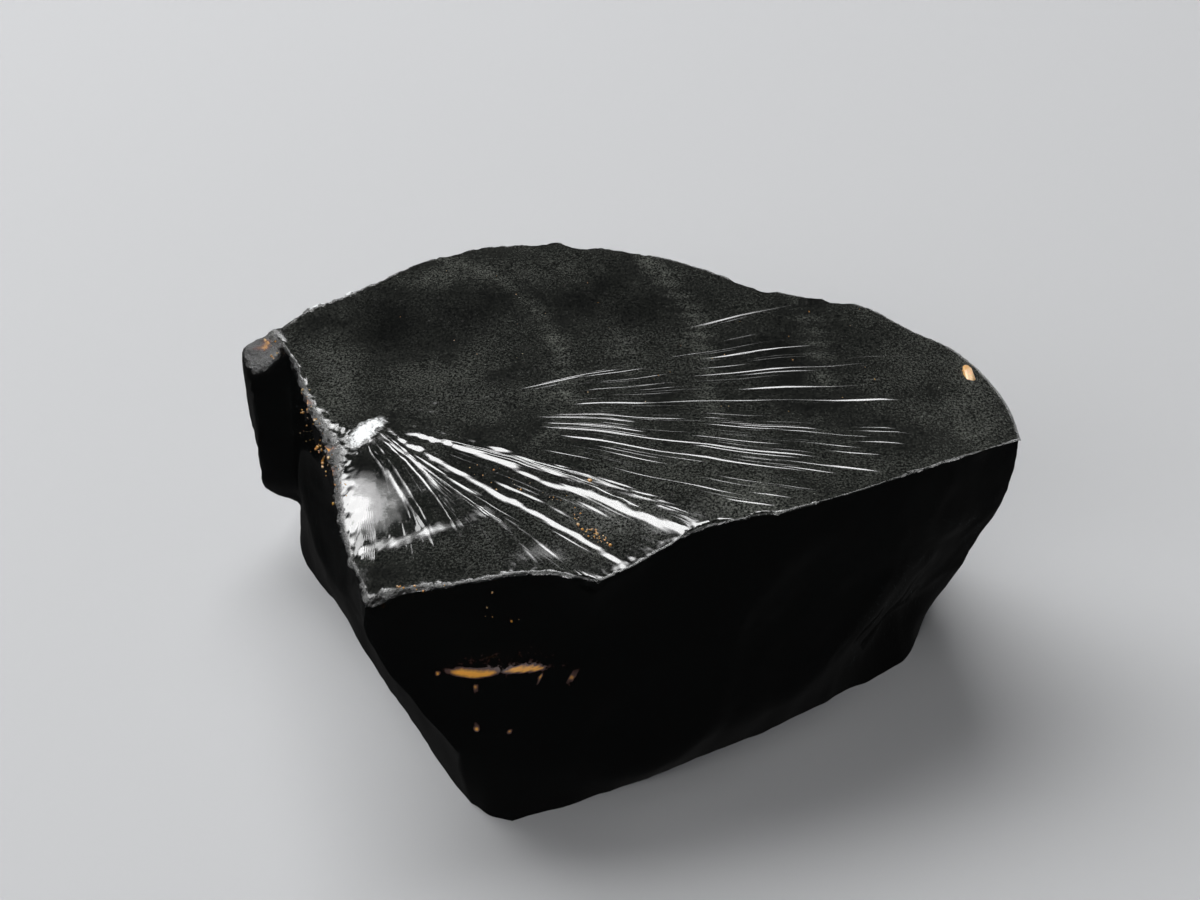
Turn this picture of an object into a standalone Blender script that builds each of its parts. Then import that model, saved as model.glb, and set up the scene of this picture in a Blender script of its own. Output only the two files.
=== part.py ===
"""Raw noble shungite: one hand-broken nugget of glassy black carbon stone, about 43 mm long.

The stone is one closed body. Its top is a single shell-like break that spread from a point beside
the left rim, so the surface is laid out the way the crack ran: curved flow lines leave that point,
fan out to the rim, go down the broken sides over a knee to the foot, and meet under the flat base.
Lengths are in millimetres until the mesh is made, which turns them into metres.
X is to the right, Y is away from the front, Z is up, and the base lies on Z = 0.
"""
import math
import random

import bpy
import numpy as np
from mathutils import Vector, noise

MM = 0.001

# Where the break on top began: the point that every flow line leaves.
BREAK_START = (-12.9, -2.3, 15.7)

# The six broken sides, counter-clockwise from above. Each starts at the corner where the one
# before it ends. A side is lofted from its rim over a mid line and a knee to its foot.
SIDES = (
    {  # front left, a narrow face that leans out downwards and ends in the stone's lowest corner
        "columns": 28,
        "rim": [(-12.2, -15.3, 15.2), (-10.7, -14.0, 14.9), (-8.3, -13.5, 14.8), (-5.6, -12.8, 14.8),
                (-3.1, -12.7, 14.9), (-1.2, -13.4, 14.9)],
        "mid": [(-11.8, -14.4, 10.4), (-7.4, -14.0, 9.4), (-2.2, -13.0, 10.0)],
        "knee": [(-8.1, -15.2, 4.6), (-4.9, -15.6, 5.0)],
        "foot": [(-7.9, -14.3, 0.0), (-6.7, -15.3, 0.0), (-5.6, -15.6, 0.0)],
    },
    {  # front right, the largest face, almost upright
        "columns": 52,
        "rim": [(-1.2, -13.4, 14.9), (0.4, -12.6, 15.1), (2.1, -11.5, 15.4), (4.0, -10.4, 15.8),
                (8.1, -9.4, 16.1), (14.5, -6.5, 16.1), (17.6, -4.6, 16.1), (21.4, -2.4, 16.0)],
        "mid": [(-2.2, -13.0, 10.0), (5.4, -11.2, 9.6), (13.0, -7.2, 9.6), (20.9, -1.3, 10.0)],
        "knee": [(-4.9, -15.6, 5.0), (-0.9, -14.7, 3.8), (1.6, -14.0, 3.2), (5.3, -11.7, 3.2),
                 (9.9, -8.9, 3.2), (12.9, -6.1, 3.2), (16.0, -2.5, 3.2), (18.8, -0.6, 3.2)],
        "foot": [(-5.6, -15.6, 0.0), (-0.9, -13.6, 0.0), (4.7, -10.7, 0.0), (11.9, -6.4, 0.0),
                 (16.6, -2.6, 0.0), (17.8, 0.2, 0.0)],
    },
    {  # right end, cut back under the tip
        "columns": 18,
        "rim": [(21.4, -2.4, 16.0), (21.2, 0.5, 15.9), (18.9, 5.1, 16.0), (16.3, 7.0, 16.1)],
        "mid": [(20.9, -1.3, 10.0), (20.0, 3.2, 9.5), (16.9, 7.3, 9.0)],
        "knee": [(18.8, -0.6, 3.2), (18.4, 3.0, 3.2), (16.2, 6.8, 3.4)],
        "foot": [(17.8, 0.2, 0.0), (17.6, 3.0, 0.0), (15.6, 6.2, 0.0)],
    },
    {  # back right
        "columns": 30,
        "rim": [(16.3, 7.0, 16.1), (13.3, 9.1, 16.2), (10.5, 9.6, 16.3), (2.6, 13.5, 16.4),
                (-3.6, 15.1, 16.4)],
        "mid": [(16.9, 7.3, 9.0), (7.4, 12.2, 8.6), (-3.4, 16.1, 8.5)],
        "knee": [(16.2, 6.8, 3.4), (7.0, 11.9, 3.4), (-3.6, 15.7, 3.2)],
        "foot": [(15.6, 6.2, 0.0), (6.6, 10.9, 0.0), (-3.8, 14.7, 0.0)],
    },
    {  # back left
        "columns": 24,
        "rim": [(-3.6, 15.1, 16.4), (-6.8, 14.8, 16.4), (-10.3, 14.1, 16.1), (-14.0, 11.8, 15.8),
                (-18.1, 9.2, 15.5), (-19.5, 7.7, 15.3)],
        "mid": [(-3.4, 16.1, 8.5), (-11.6, 14.4, 8.2), (-19.8, 9.4, 8.5)],
        "knee": [(-3.6, 15.7, 3.2), (-11.8, 14.2, 3.0), (-19.7, 10.4, 3.0)],
        "foot": [(-3.8, 14.7, 0.0), (-12.0, 13.2, 0.0), (-19.4, 11.2, 0.0)],
    },
    {  # left, upright behind and undercut towards the front
        "columns": 32,
        "rim": [(-19.5, 7.7, 15.3), (-18.5, 5.4, 15.4), (-17.2, 1.7, 15.5), (-15.0, -4.9, 15.4),
                (-14.1, -9.1, 15.4), (-12.8, -13.1, 15.3), (-12.2, -15.3, 15.2)],
        "mid": [(-19.8, 9.4, 8.5), (-17.6, 2.0, 8.5), (-14.4, -5.5, 9.0), (-11.8, -14.4, 10.4)],
        "knee": [(-19.7, 10.4, 3.0), (-17.5, 2.2, 3.0), (-13.6, -5.2, 3.4), (-8.1, -15.2, 4.6)],
        "foot": [(-19.4, 11.2, 0.0), (-19.1, 7.1, 0.0), (-17.9, 3.7, 0.0), (-16.4, 1.4, 0.0),
                 (-14.0, -3.4, 0.0), (-10.5, -9.7, 0.0), (-7.9, -14.3, 0.0)],
    },
)

# How far each flow line's control point stands off the middle of its chord, at places around the
# rim counted in sides (1.5 is halfway along the second side).
FLOW_BENDS = (
    (0.00, 0.3, 0.0),
    (0.40, 1.0, 0.5),
    (1.00, 0.0, -0.3),
    (1.07, -0.1, -0.3),
    (1.22, 1.0, 2.1),
    (1.71, -4.3, 5.1),
    (2.00, -7.7, 4.9),
    (3.00, -6.7, 0.9),
    (4.00, 0.0, 0.0),
    (6.00, 0.3, 0.0),
)
# How far the flow lines between these places sag to the front, most at two thirds of their length.
# The sag's curve over a flow line peaks at one once it is scaled.
FLOW_SAG = 1.3
FLOW_SAG_PLACES = (1.15, 1.45, 2.00, 3.00)
FLOW_SAG_SCALE = 6.75

# Shares of the way along a flow line, from the start of the break to the rim.
TOP_RINGS = (0.06, 0.13, 0.21, 0.30, 0.40, 0.50, 0.60, 0.70, 0.79, 0.87, 0.935, 0.975, 1.0)
# Shares of the way down a side, from the rim to the knee, and then from the knee to the foot.
SIDE_RINGS = (0.035, 0.09, 0.17, 0.28, 0.40, 0.455, 0.50, 0.545, 0.66, 0.82, 1.0)
KNEE_RINGS = (0.5, 1.0)
BASE_RING = 0.55
BASE_MIDDLE = (-1.5, 0.0)

# Steps in the break: cliffs that face the front, with a gentle fall behind them.
# Start, end, bow to the back, height, width of the cliff, and length of the fall.
STEPS = (
    ((-12.4, -1.9), (0.3, -12.6), -0.10, 0.15, 0.6, 0.9),
    ((-12.6, -1.2), (3.7, -10.5), 0.10, 0.22, 0.6, 1.0),
    ((-12.5, -0.8), (3.9, -10.3), 0.50, 0.10, 0.5, 0.8),
)
STEP_FADE_IN = 0.15
STEP_FADE_OUT = 0.10
STEP_OVERRUN = 1.06

# The shell-shaped dish in the front left of the break: how deep it gets beside the left rim, its
# reach from there to the right, where it starts and is full towards the front, and where it rises
# again.
DISH_DEPTH = 1.50
DISH_SIDE = -14.4
DISH_REACH = 3.6
DISH_FALL = (-4.4, -10.9)
DISH_RETURN = (-10.6, -14.6)

# The small bulb where the blow landed.
BULB_HEIGHT = 0.22
BULB_REACH = 1.3

# Hackles: fine radial steps along the flow lines, over the right two thirds of the break. They rise
# and fade at places around the rim, in sides, and at shares of a flow line.
HACKLE_PLACES = (1.27, 1.39, 2.56, 2.86)
HACKLE_SHARES = (0.25, 0.45, 0.72, 0.88)
HACKLE_COLUMNS = 3
HACKLE_HEIGHT = 0.06

# Ripples: rings around the start of the break, where the crack slowed. They grow between two
# distances from it and fade over the last share of a flow line.
RIPPLE_SPACING = 5.3
RIPPLE_HEIGHT = 0.04
RIPPLE_GROWS = (4.8, 12.8)
RIPPLE_FADE = 0.2

# The plain facet that slopes down to the right tip.
TIP_FACET_START = 14.8
TIP_FACET_FALL = 0.11

# Large scars on the sides: a place on the side, the way it faces, the ball's radius, its depth.
SCARS = (
    ((-6.8, -14.3, 9.0), (-0.05, -0.97, 0.22), 11.0, 0.55),
    ((1.6, -12.8, 7.6), (0.35, -0.93, 0.0), 15.0, 0.40),
    ((10.4, -8.7, 8.6), (0.5, -0.86, 0.0), 30.0, 0.55),
    ((18.6, -3.6, 8.0), (0.62, -0.78, 0.0), 12.0, 0.35),
    ((20.2, 3.0, 8.8), (0.95, 0.3, 0.0), 13.0, 0.60),
    ((11.5, 10.2, 9.6), (0.5, 0.87, 0.0), 22.0, 0.80),
    ((1.2, 14.8, 7.0), (0.3, 0.95, 0.05), 17.0, 0.75),
    ((-8.0, 15.4, 9.4), (-0.2, 0.98, 0.0), 20.0, 0.80),
    ((-15.6, 12.4, 6.6), (-0.5, 0.86, 0.0), 13.0, 0.60),
    ((-15.4, -2.4, 8.4), (-0.95, -0.3, 0.0), 16.0, 0.50),
    ((-12.0, -9.6, 5.8), (-0.9, -0.4, -0.1), 10.0, 0.55),
)

# The slab left standing on the left side, near its back corner.
SLAB_MIDDLE = (-19.4, 7.4, 9.5)
SLAB_REACH = (4.0, 2.6, 6.6)
SLAB_PROUD = 1.9
SLAB_FACING = (-0.96, -0.28, 0.0)
# How much of its reach the slab's edge takes up.
SLAB_EDGE = 0.3

# The rusty crevice across the front left face, and the smaller one under it: the place of the lip
# that it ends on, half length, half height, and depth. Its heights are in half heights above the
# lip: it slopes in from the first one to the lip and closes again at the second one.
CREVICES = (
    ((-5.9, -14.0, 9.6), 4.2, 0.45, 0.40),
    ((-6.4, -14.6, 5.9), 1.9, 0.40, 0.25),
)
CREVICE_TOP = 2.2
CREVICE_BOTTOM = -1.3
# How far in front of and behind the face a crevice still cuts.
CREVICE_BAND = 2.5

# Chips along the rim. Each side has its own number, more on the crumbly left.
CHIP_SEED = 31
CHIPS_PER_SIDE = (4, 4, 2, 5, 5, 12)
CHIP_RADIUS = (0.6, 1.3)
CHIP_DEPTH = (0.08, 0.26)
# How steeply a chip faces up, against one for the way it faces out.
CHIP_LIFT = (0.2, 1.1)
# How much longer a chip is along the rim than down from it.
CHIP_STRETCH = (1.0, 2.4)
LEFT_CHIP_GROWTH = 1.35
# Shares of a side's rim between which chips lie.
CHIP_PLACES = (0.03, 0.97)

# Unevenness of the broken surfaces: size of the swells and how high they stand.
TOP_SWELL = (9.0, 0.10)
SIDE_SWELL = (4.2, 0.22)
# How the swells get rougher: dimension, growth from one to the next, and their number.
SWELL_ROUGHNESS = (0.8, 2.1, 3)

# Nothing but the foot comes closer to the ground than this.
LOWEST = 0.4

STONE_COLOUR = (0.0045, 0.0052, 0.0050, 1.0)
STONE_ROUGHNESS = 0.22


def smooth_path(points, shares):
    """Places at the given shares, 0 to 1, of a smooth curve through a few points."""
    knots = np.array(points, dtype=float)
    gaps = np.linalg.norm(np.diff(knots, axis=0), axis=1)
    at = np.concatenate(([0.0], np.cumsum(gaps))) / gaps.sum()
    slopes = np.gradient(knots, at, axis=0)
    first = np.clip(np.searchsorted(at, shares, side="right") - 1, 0, len(gaps) - 1)
    span = (at[first + 1] - at[first])[:, None]
    u = (shares - at[first])[:, None] / span
    near, far = knots[first], knots[first + 1]
    leave, arrive = slopes[first] * span, slopes[first + 1] * span
    return (near * (2 * u**3 - 3 * u**2 + 1) + leave * (u**3 - 2 * u**2 + u)
            + far * (3 * u**2 - 2 * u**3) + arrive * (u**3 - u**2))


def smoothstep(value):
    """An even rise from 0 to 1 while the value goes from 0 to 1."""
    share = np.clip(value, 0.0, 1.0)
    return share * share * (3.0 - 2.0 * share)


def unit(direction):
    vector = np.array(direction, dtype=float)
    return vector / np.linalg.norm(vector)


def level_line(level, shares_by_side):
    """One line around the stone at a named level, side after side."""
    return np.vstack([smooth_path(side[level], shares)
                      for side, shares in zip(SIDES, shares_by_side)])


def step_relief(x, y):
    """Height that the cliffs add to the break."""
    height = np.zeros_like(x)
    for start, end, bow, rise, width, fall in STEPS:
        run = np.subtract(end, start)
        length = np.linalg.norm(run)
        run /= length
        share = ((x - start[0]) * run[0] + (y - start[1]) * run[1]) / length
        behind = (y - start[1]) * run[0] - (x - start[0]) * run[1] - 4.0 * bow * share * (1.0 - share)
        cliff = smoothstep(behind / width + 0.5)
        slope_behind = np.exp(-np.clip(behind - 0.5 * width, 0.0, None) / fall)
        ends = smoothstep(share / STEP_FADE_IN) * smoothstep((STEP_OVERRUN - share) / STEP_FADE_OUT)
        height += rise * cliff * slope_behind * ends
    return height


def dish_relief(x, y):
    """Depth of the shell-shaped dish, as a height below the break."""
    depth = DISH_DEPTH * np.exp(-(np.clip(x - DISH_SIDE, 0.0, None) / DISH_REACH) ** 2)
    falls, full = DISH_FALL
    rises, gone = DISH_RETURN
    return -depth * smoothstep((y - falls) / (full - falls)) * smoothstep((y - gone) / (rises - gone))


def fade(value, starts, full_from, full_to, stops):
    """A window that rises from 0 to 1, stays, and falls back to 0."""
    return (smoothstep((value - starts) / (full_from - starts))
            * smoothstep((stops - value) / (stops - full_to)))


def hackle_relief(place, share, columns):
    """Fine steps along the flow lines: a cliff to the front, then a fall to the next one."""
    tooth = 1.0 - (np.arange(columns) % HACKLE_COLUMNS) / (HACKLE_COLUMNS - 1.0)
    return HACKLE_HEIGHT * (tooth - 0.5) * fade(place, *HACKLE_PLACES) * fade(share, *HACKLE_SHARES)


def break_surface(rim, place):
    """The rings of the broken top, from beside the start of the break out to the rim."""
    start = np.array(BREAK_START)
    keys = np.array(FLOW_BENDS)
    bend = np.column_stack([np.interp(place, keys[:, 0], keys[:, axis]) for axis in (1, 2)])
    control = (start[:2] + rim[:, :2]) / 2.0 + bend
    rings = []
    for share in TOP_RINGS:
        plan = ((1 - share) ** 2 * start[:2] + 2 * share * (1 - share) * control
                + share**2 * rim[:, :2])
        x, y = plan[:, 0], plan[:, 1]
        sag = FLOW_SAG_SCALE * share**2 * (1.0 - share) * fade(place, *FLOW_SAG_PLACES)
        y = y - FLOW_SAG * sag
        distance = np.hypot(x - start[0], y - start[1])
        height = start[2] + (rim[:, 2] - start[2]) * share
        height = height + step_relief(x, y)
        height += dish_relief(x, y)
        height += BULB_HEIGHT * np.exp(-(distance / BULB_REACH) ** 2)
        height += hackle_relief(place, share, len(place))
        ripple = np.sin(distance / RIPPLE_SPACING * 2 * math.pi)
        ripple *= smoothstep((distance - RIPPLE_GROWS[0]) / (RIPPLE_GROWS[1] - RIPPLE_GROWS[0]))
        height += RIPPLE_HEIGHT * ripple * smoothstep((1.0 - share) / RIPPLE_FADE)
        height -= TIP_FACET_FALL * np.clip(x - TIP_FACET_START, 0.0, None)
        rings.append(np.column_stack((x, y, height)))
    return rings


def side_surface(rim, mid, knee, foot):
    """The rings down the sides: a curve from rim to knee through the mid line, then to the foot."""
    control = 2.0 * mid - (rim + knee) / 2.0
    upper = [(1 - t) ** 2 * rim + 2 * t * (1 - t) * control + t * t * knee for t in SIDE_RINGS]
    lower = [knee + (foot - knee) * t for t in KNEE_RINGS]
    return upper + lower


def scoop(points, place, facing, radius, depth, along=None, stretch=1.0):
    """Bite a ball out of the surface, as a blow leaves a shell-shaped scar. A stretched ball
    reaches further along one direction."""
    out = unit(facing)
    away = points - (np.array(place) + out * (radius - depth))
    if along is not None:
        away = away - along * (away @ along)[..., None] * (1.0 - 1.0 / stretch)
    height = away @ out
    beside = np.clip(radius**2 - (away * away).sum(axis=-1) + height**2, 0.0, None)
    sink = np.where(beside > 0.0, height + np.sqrt(beside), 0.0)
    return points - out * np.clip(sink, 0.0, 2.0 * radius)[..., None]


def rim_facing(side, share):
    """The level direction that a side's rim faces at a share of its length."""
    near, far = smooth_path(side["rim"], np.array((share - 0.01, share + 0.01)))
    return unit((far[1] - near[1], near[0] - far[0], 0.0))


def chips():
    """Small bites along the rim, as place, facing, radius, depth, the rim's direction and how far
    they are stretched along it."""
    draw = random.Random(CHIP_SEED)
    bites = []
    for number, (side, count) in enumerate(zip(SIDES, CHIPS_PER_SIDE)):
        growth = LEFT_CHIP_GROWTH if number == len(SIDES) - 1 else 1.0
        for _ in range(count):
            share = draw.uniform(*CHIP_PLACES)
            place = smooth_path(side["rim"], np.array([share]))[0]
            level = rim_facing(side, share)
            along = np.array((-level[1], level[0], 0.0))
            facing = level + (0.0, 0.0, draw.uniform(*CHIP_LIFT))
            radius = draw.uniform(*CHIP_RADIUS) * growth
            depth = draw.uniform(*CHIP_DEPTH) * growth
            bites.append((place, facing, radius, depth, along, draw.uniform(*CHIP_STRETCH)))
    return bites


def slab(points):
    """Raise the slab that stands proud of the left side, with steep edges."""
    away = (points - np.array(SLAB_MIDDLE)) / np.array(SLAB_REACH)
    inside = 1.0 - np.linalg.norm(away, axis=-1, keepdims=True)
    return points + unit(SLAB_FACING) * SLAB_PROUD * smoothstep(inside / SLAB_EDGE)


def crevices(points):
    """Open the crevices across the front left face: each slopes in from above and ends on a lip
    that faces up."""
    for place, half_length, half_height, depth in CREVICES:
        along = np.clip(1.0 - ((points[..., 0] - place[0]) / half_length) ** 2, 0.0, None)
        up = (points[..., 2] - place[2]) / half_height
        near = np.abs(points[..., 1] - place[1]) < CREVICE_BAND
        groove = (smoothstep((CREVICE_TOP - up) / CREVICE_TOP)
                  * smoothstep((up - CREVICE_BOTTOM) / -CREVICE_BOTTOM))
        points = points + np.array((0.0, 1.0, 0.0)) * (depth * along * groove * near)[..., None]
    return points


def outward(points):
    """Unit normals of the grid of rings and columns."""
    around = np.roll(points, -1, axis=1) - np.roll(points, 1, axis=1)
    down = np.gradient(points, axis=0)
    normal = np.cross(down, around)
    return normal / np.maximum(np.linalg.norm(normal, axis=-1, keepdims=True), 1e-9)


def swell(points, rings_on_top):
    """Uneven the broken surfaces with soft swells."""
    normal = outward(points)
    raised = points.copy()
    for ring in range(points.shape[0]):
        size, height = TOP_SWELL if ring < rings_on_top else SIDE_SWELL
        for column in range(points.shape[1]):
            where = Vector(points[ring, column]) / size
            lift = noise.fractal(where, *SWELL_ROUGHNESS) * height
            raised[ring, column] += normal[ring, column] * lift
    return raised


def stone_rings():
    """Every ring of the stone, top to base, as an array of rings, columns and coordinates."""
    shares = [np.arange(side["columns"]) / side["columns"] for side in SIDES]
    place = np.concatenate([number + share for number, share in enumerate(shares)])
    rim, mid, knee, foot = (level_line(level, shares) for level in ("rim", "mid", "knee", "foot"))
    top = break_surface(rim, place)
    sides = side_surface(top[-1], mid, knee, foot)
    rings = np.array(top + sides)
    for scar in SCARS:
        rings = scoop(rings, *scar)
    rings = crevices(slab(rings))
    rings = swell(rings, len(top))
    for chip in chips():
        rings = scoop(rings, *chip)
    rings[-1, :, 2] = 0.0
    rings[:-1, :, 2] = np.maximum(rings[:-1, :, 2], LOWEST)
    return rings


def stone_mesh():
    """The closed mesh: rings joined by quads, with a point at each pole."""
    rings = stone_rings()
    columns = rings.shape[1]
    foot = rings[-1]
    base_middle = np.array((*BASE_MIDDLE, 0.0))
    inner = base_middle + (foot - base_middle) * BASE_RING
    rings = np.concatenate((rings, inner[None]))
    top_middle = np.add(BREAK_START, (0.0, 0.0, BULB_HEIGHT))
    points = np.vstack((rings.reshape(-1, 3), [top_middle], [base_middle]))
    low, high = points.min(axis=0), points.max(axis=0)
    points -= ((low[0] + high[0]) / 2, (low[1] + high[1]) / 2, 0.0)

    def index(ring, column):
        return ring * columns + column % columns

    top_pole, base_pole, last = len(points) - 2, len(points) - 1, len(rings) - 1
    faces = []
    for column in range(columns):
        faces.append((top_pole, index(0, column), index(0, column + 1)))
        faces.append((index(last, column), base_pole, index(last, column + 1)))
        for ring in range(last):
            faces.append((index(ring, column), index(ring + 1, column),
                          index(ring + 1, column + 1), index(ring, column + 1)))
    mesh = bpy.data.meshes.new("shungite_chunk")
    mesh.from_pydata((points * MM).tolist(), [], faces)
    mesh.validate()
    return mesh


def stone_material():
    material = bpy.data.materials.new("noble shungite, broken")
    material.use_nodes = True
    shader = material.node_tree.nodes["Principled BSDF"]
    shader.inputs["Base Color"].default_value = STONE_COLOUR
    shader.inputs["Roughness"].default_value = STONE_ROUGHNESS
    shader.inputs["Metallic"].default_value = 0.0
    return material


def main():
    for leftover in list(bpy.data.objects):
        bpy.data.objects.remove(leftover)
    mesh = stone_mesh()
    mesh.materials.append(stone_material())
    chunk = bpy.data.objects.new("shungite_chunk", mesh)
    bpy.context.collection.objects.link(chunk)


main()
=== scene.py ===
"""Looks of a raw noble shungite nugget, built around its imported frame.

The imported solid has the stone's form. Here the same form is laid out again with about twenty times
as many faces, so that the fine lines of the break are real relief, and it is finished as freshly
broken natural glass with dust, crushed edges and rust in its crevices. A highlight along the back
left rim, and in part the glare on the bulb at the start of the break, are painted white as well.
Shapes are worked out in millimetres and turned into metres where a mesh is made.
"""
import math
import random

import bmesh
import bpy
import numpy as np
from bpy.props import FloatProperty, FloatVectorProperty, IntProperty, PointerProperty
from mathutils import Euler, Matrix, Vector, noise


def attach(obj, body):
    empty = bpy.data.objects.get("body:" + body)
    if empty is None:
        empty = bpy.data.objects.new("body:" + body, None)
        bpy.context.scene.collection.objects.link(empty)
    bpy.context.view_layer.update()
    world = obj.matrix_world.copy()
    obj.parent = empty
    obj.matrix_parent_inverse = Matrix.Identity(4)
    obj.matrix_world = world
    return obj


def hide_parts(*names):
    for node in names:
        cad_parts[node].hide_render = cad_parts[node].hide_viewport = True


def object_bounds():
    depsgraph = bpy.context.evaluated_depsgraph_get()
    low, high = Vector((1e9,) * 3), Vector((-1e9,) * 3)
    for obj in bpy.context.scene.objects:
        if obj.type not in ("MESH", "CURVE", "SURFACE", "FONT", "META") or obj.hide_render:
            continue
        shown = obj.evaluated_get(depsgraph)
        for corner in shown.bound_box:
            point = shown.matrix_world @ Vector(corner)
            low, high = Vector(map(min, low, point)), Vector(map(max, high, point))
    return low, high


bl_info = {
    "name": "Raw shungite nugget",
    "version": (1, 0, 0),
    "blender": (4, 5, 0),
    "location": "3D View > Sidebar > Shungite",
    "description": "Fine surface, finish and stage of a hand-broken noble shungite nugget",
    "category": "Object",
}

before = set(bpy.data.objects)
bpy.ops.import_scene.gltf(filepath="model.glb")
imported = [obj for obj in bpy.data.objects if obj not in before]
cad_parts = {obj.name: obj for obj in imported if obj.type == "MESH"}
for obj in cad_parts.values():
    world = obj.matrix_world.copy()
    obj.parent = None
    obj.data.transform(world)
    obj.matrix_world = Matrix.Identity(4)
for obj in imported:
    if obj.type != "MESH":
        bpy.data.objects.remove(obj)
CAD_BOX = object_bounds()
NODE = "shungite_chunk"
STONE = "shungite_surface"
MM = 0.001

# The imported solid's design, repeated here because this script reads only the frame.
# Where the break on top began: the point that every flow line leaves.
BREAK_START = (-12.9, -2.3, 15.7)

# The six broken sides, counter-clockwise from above. A side is lofted from its rim over a mid line
# and a knee to its foot. The last number is how many columns of faces it gets here.
SIDES = (
    {  # front left
        "columns": 300,
        "rim": [(-12.2, -15.3, 15.2), (-10.7, -14.0, 14.9), (-8.3, -13.5, 14.8), (-5.6, -12.8, 14.8),
                (-3.1, -12.7, 14.9), (-1.2, -13.4, 14.9)],
        "mid": [(-11.8, -14.4, 10.4), (-7.4, -14.0, 9.4), (-2.2, -13.0, 10.0)],
        "knee": [(-8.1, -15.2, 4.6), (-4.9, -15.6, 5.0)],
        "foot": [(-7.9, -14.3, 0.0), (-6.7, -15.3, 0.0), (-5.6, -15.6, 0.0)],
    },
    {  # front right
        "columns": 620,
        "rim": [(-1.2, -13.4, 14.9), (0.4, -12.6, 15.1), (2.1, -11.5, 15.4), (4.0, -10.4, 15.8),
                (8.1, -9.4, 16.1), (14.5, -6.5, 16.1), (17.6, -4.6, 16.1), (21.4, -2.4, 16.0)],
        "mid": [(-2.2, -13.0, 10.0), (5.4, -11.2, 9.6), (13.0, -7.2, 9.6), (20.9, -1.3, 10.0)],
        "knee": [(-4.9, -15.6, 5.0), (-0.9, -14.7, 3.8), (1.6, -14.0, 3.2), (5.3, -11.7, 3.2),
                 (9.9, -8.9, 3.2), (12.9, -6.1, 3.2), (16.0, -2.5, 3.2), (18.8, -0.6, 3.2)],
        "foot": [(-5.6, -15.6, 0.0), (-0.9, -13.6, 0.0), (4.7, -10.7, 0.0), (11.9, -6.4, 0.0),
                 (16.6, -2.6, 0.0), (17.8, 0.2, 0.0)],
    },
    {  # right end
        "columns": 240,
        "rim": [(21.4, -2.4, 16.0), (21.2, 0.5, 15.9), (18.9, 5.1, 16.0), (16.3, 7.0, 16.1)],
        "mid": [(20.9, -1.3, 10.0), (20.0, 3.2, 9.5), (16.9, 7.3, 9.0)],
        "knee": [(18.8, -0.6, 3.2), (18.4, 3.0, 3.2), (16.2, 6.8, 3.4)],
        "foot": [(17.8, 0.2, 0.0), (17.6, 3.0, 0.0), (15.6, 6.2, 0.0)],
    },
    {  # back right
        "columns": 200,
        "rim": [(16.3, 7.0, 16.1), (13.3, 9.1, 16.2), (10.5, 9.6, 16.3), (2.6, 13.5, 16.4),
                (-3.6, 15.1, 16.4)],
        "mid": [(16.9, 7.3, 9.0), (7.4, 12.2, 8.6), (-3.4, 16.1, 8.5)],
        "knee": [(16.2, 6.8, 3.4), (7.0, 11.9, 3.4), (-3.6, 15.7, 3.2)],
        "foot": [(15.6, 6.2, 0.0), (6.6, 10.9, 0.0), (-3.8, 14.7, 0.0)],
    },
    {  # back left
        "columns": 120,
        "rim": [(-3.6, 15.1, 16.4), (-6.8, 14.8, 16.4), (-10.3, 14.1, 16.1), (-14.0, 11.8, 15.8),
                (-18.1, 9.2, 15.5), (-19.5, 7.7, 15.3)],
        "mid": [(-3.4, 16.1, 8.5), (-11.6, 14.4, 8.2), (-19.8, 9.4, 8.5)],
        "knee": [(-3.6, 15.7, 3.2), (-11.8, 14.2, 3.0), (-19.7, 10.4, 3.0)],
        "foot": [(-3.8, 14.7, 0.0), (-12.0, 13.2, 0.0), (-19.4, 11.2, 0.0)],
    },
    {  # left
        "columns": 220,
        "rim": [(-19.5, 7.7, 15.3), (-18.5, 5.4, 15.4), (-17.2, 1.7, 15.5), (-15.0, -4.9, 15.4),
                (-14.1, -9.1, 15.4), (-12.8, -13.1, 15.3), (-12.2, -15.3, 15.2)],
        "mid": [(-19.8, 9.4, 8.5), (-17.6, 2.0, 8.5), (-14.4, -5.5, 9.0), (-11.8, -14.4, 10.4)],
        "knee": [(-19.7, 10.4, 3.0), (-17.5, 2.2, 3.0), (-13.6, -5.2, 3.4), (-8.1, -15.2, 4.6)],
        "foot": [(-19.4, 11.2, 0.0), (-19.1, 7.1, 0.0), (-17.9, 3.7, 0.0), (-16.4, 1.4, 0.0),
                 (-14.0, -3.4, 0.0), (-10.5, -9.7, 0.0), (-7.9, -14.3, 0.0)],
    },
)

# How far each flow line's control point stands off the middle of its chord, at places around the
# rim counted in sides.
FLOW_BENDS = (
    (0.00, 0.3, 0.0),
    (0.40, 1.0, 0.5),
    (1.00, 0.0, -0.3),
    (1.07, -0.1, -0.3),
    (1.22, 1.0, 2.1),
    (1.71, -4.3, 5.1),
    (2.00, -7.7, 4.9),
    (3.00, -6.7, 0.9),
    (4.00, 0.0, 0.0),
    (6.00, 0.3, 0.0),
)
# How far the flow lines between these places sag to the front, most at two thirds of their length.
# The scale makes the curve of the sag reach 1 there.
FLOW_SAG = 1.3
FLOW_SAG_PLACES = (1.15, 1.45, 2.00, 3.00)
FLOW_SAG_SCALE = 6.75

# The dish in the front left of the break: how deep it gets beside the left rim, its reach from
# there to the right, where it starts and is full towards the front, and where it rises again.
DISH_DEPTH = 1.50
DISH_SIDE = -14.4
DISH_REACH = 3.6
DISH_FALL = (-4.4, -10.9)
DISH_RETURN = (-10.6, -14.6)

# The small bulb where the blow landed.
BULB_HEIGHT = 0.22
BULB_REACH = 1.3

# Ripples around the start: their spacing and height, over what distance and how late they rise to
# it, and over which last share of a flow line they die away.
RIPPLE_SPACING = 5.3
RIPPLE_HEIGHT = 0.04
RIPPLE_RISE = 8.0
RIPPLE_LAG = 0.6
RIPPLE_RIM_SHARE = 0.2

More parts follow.
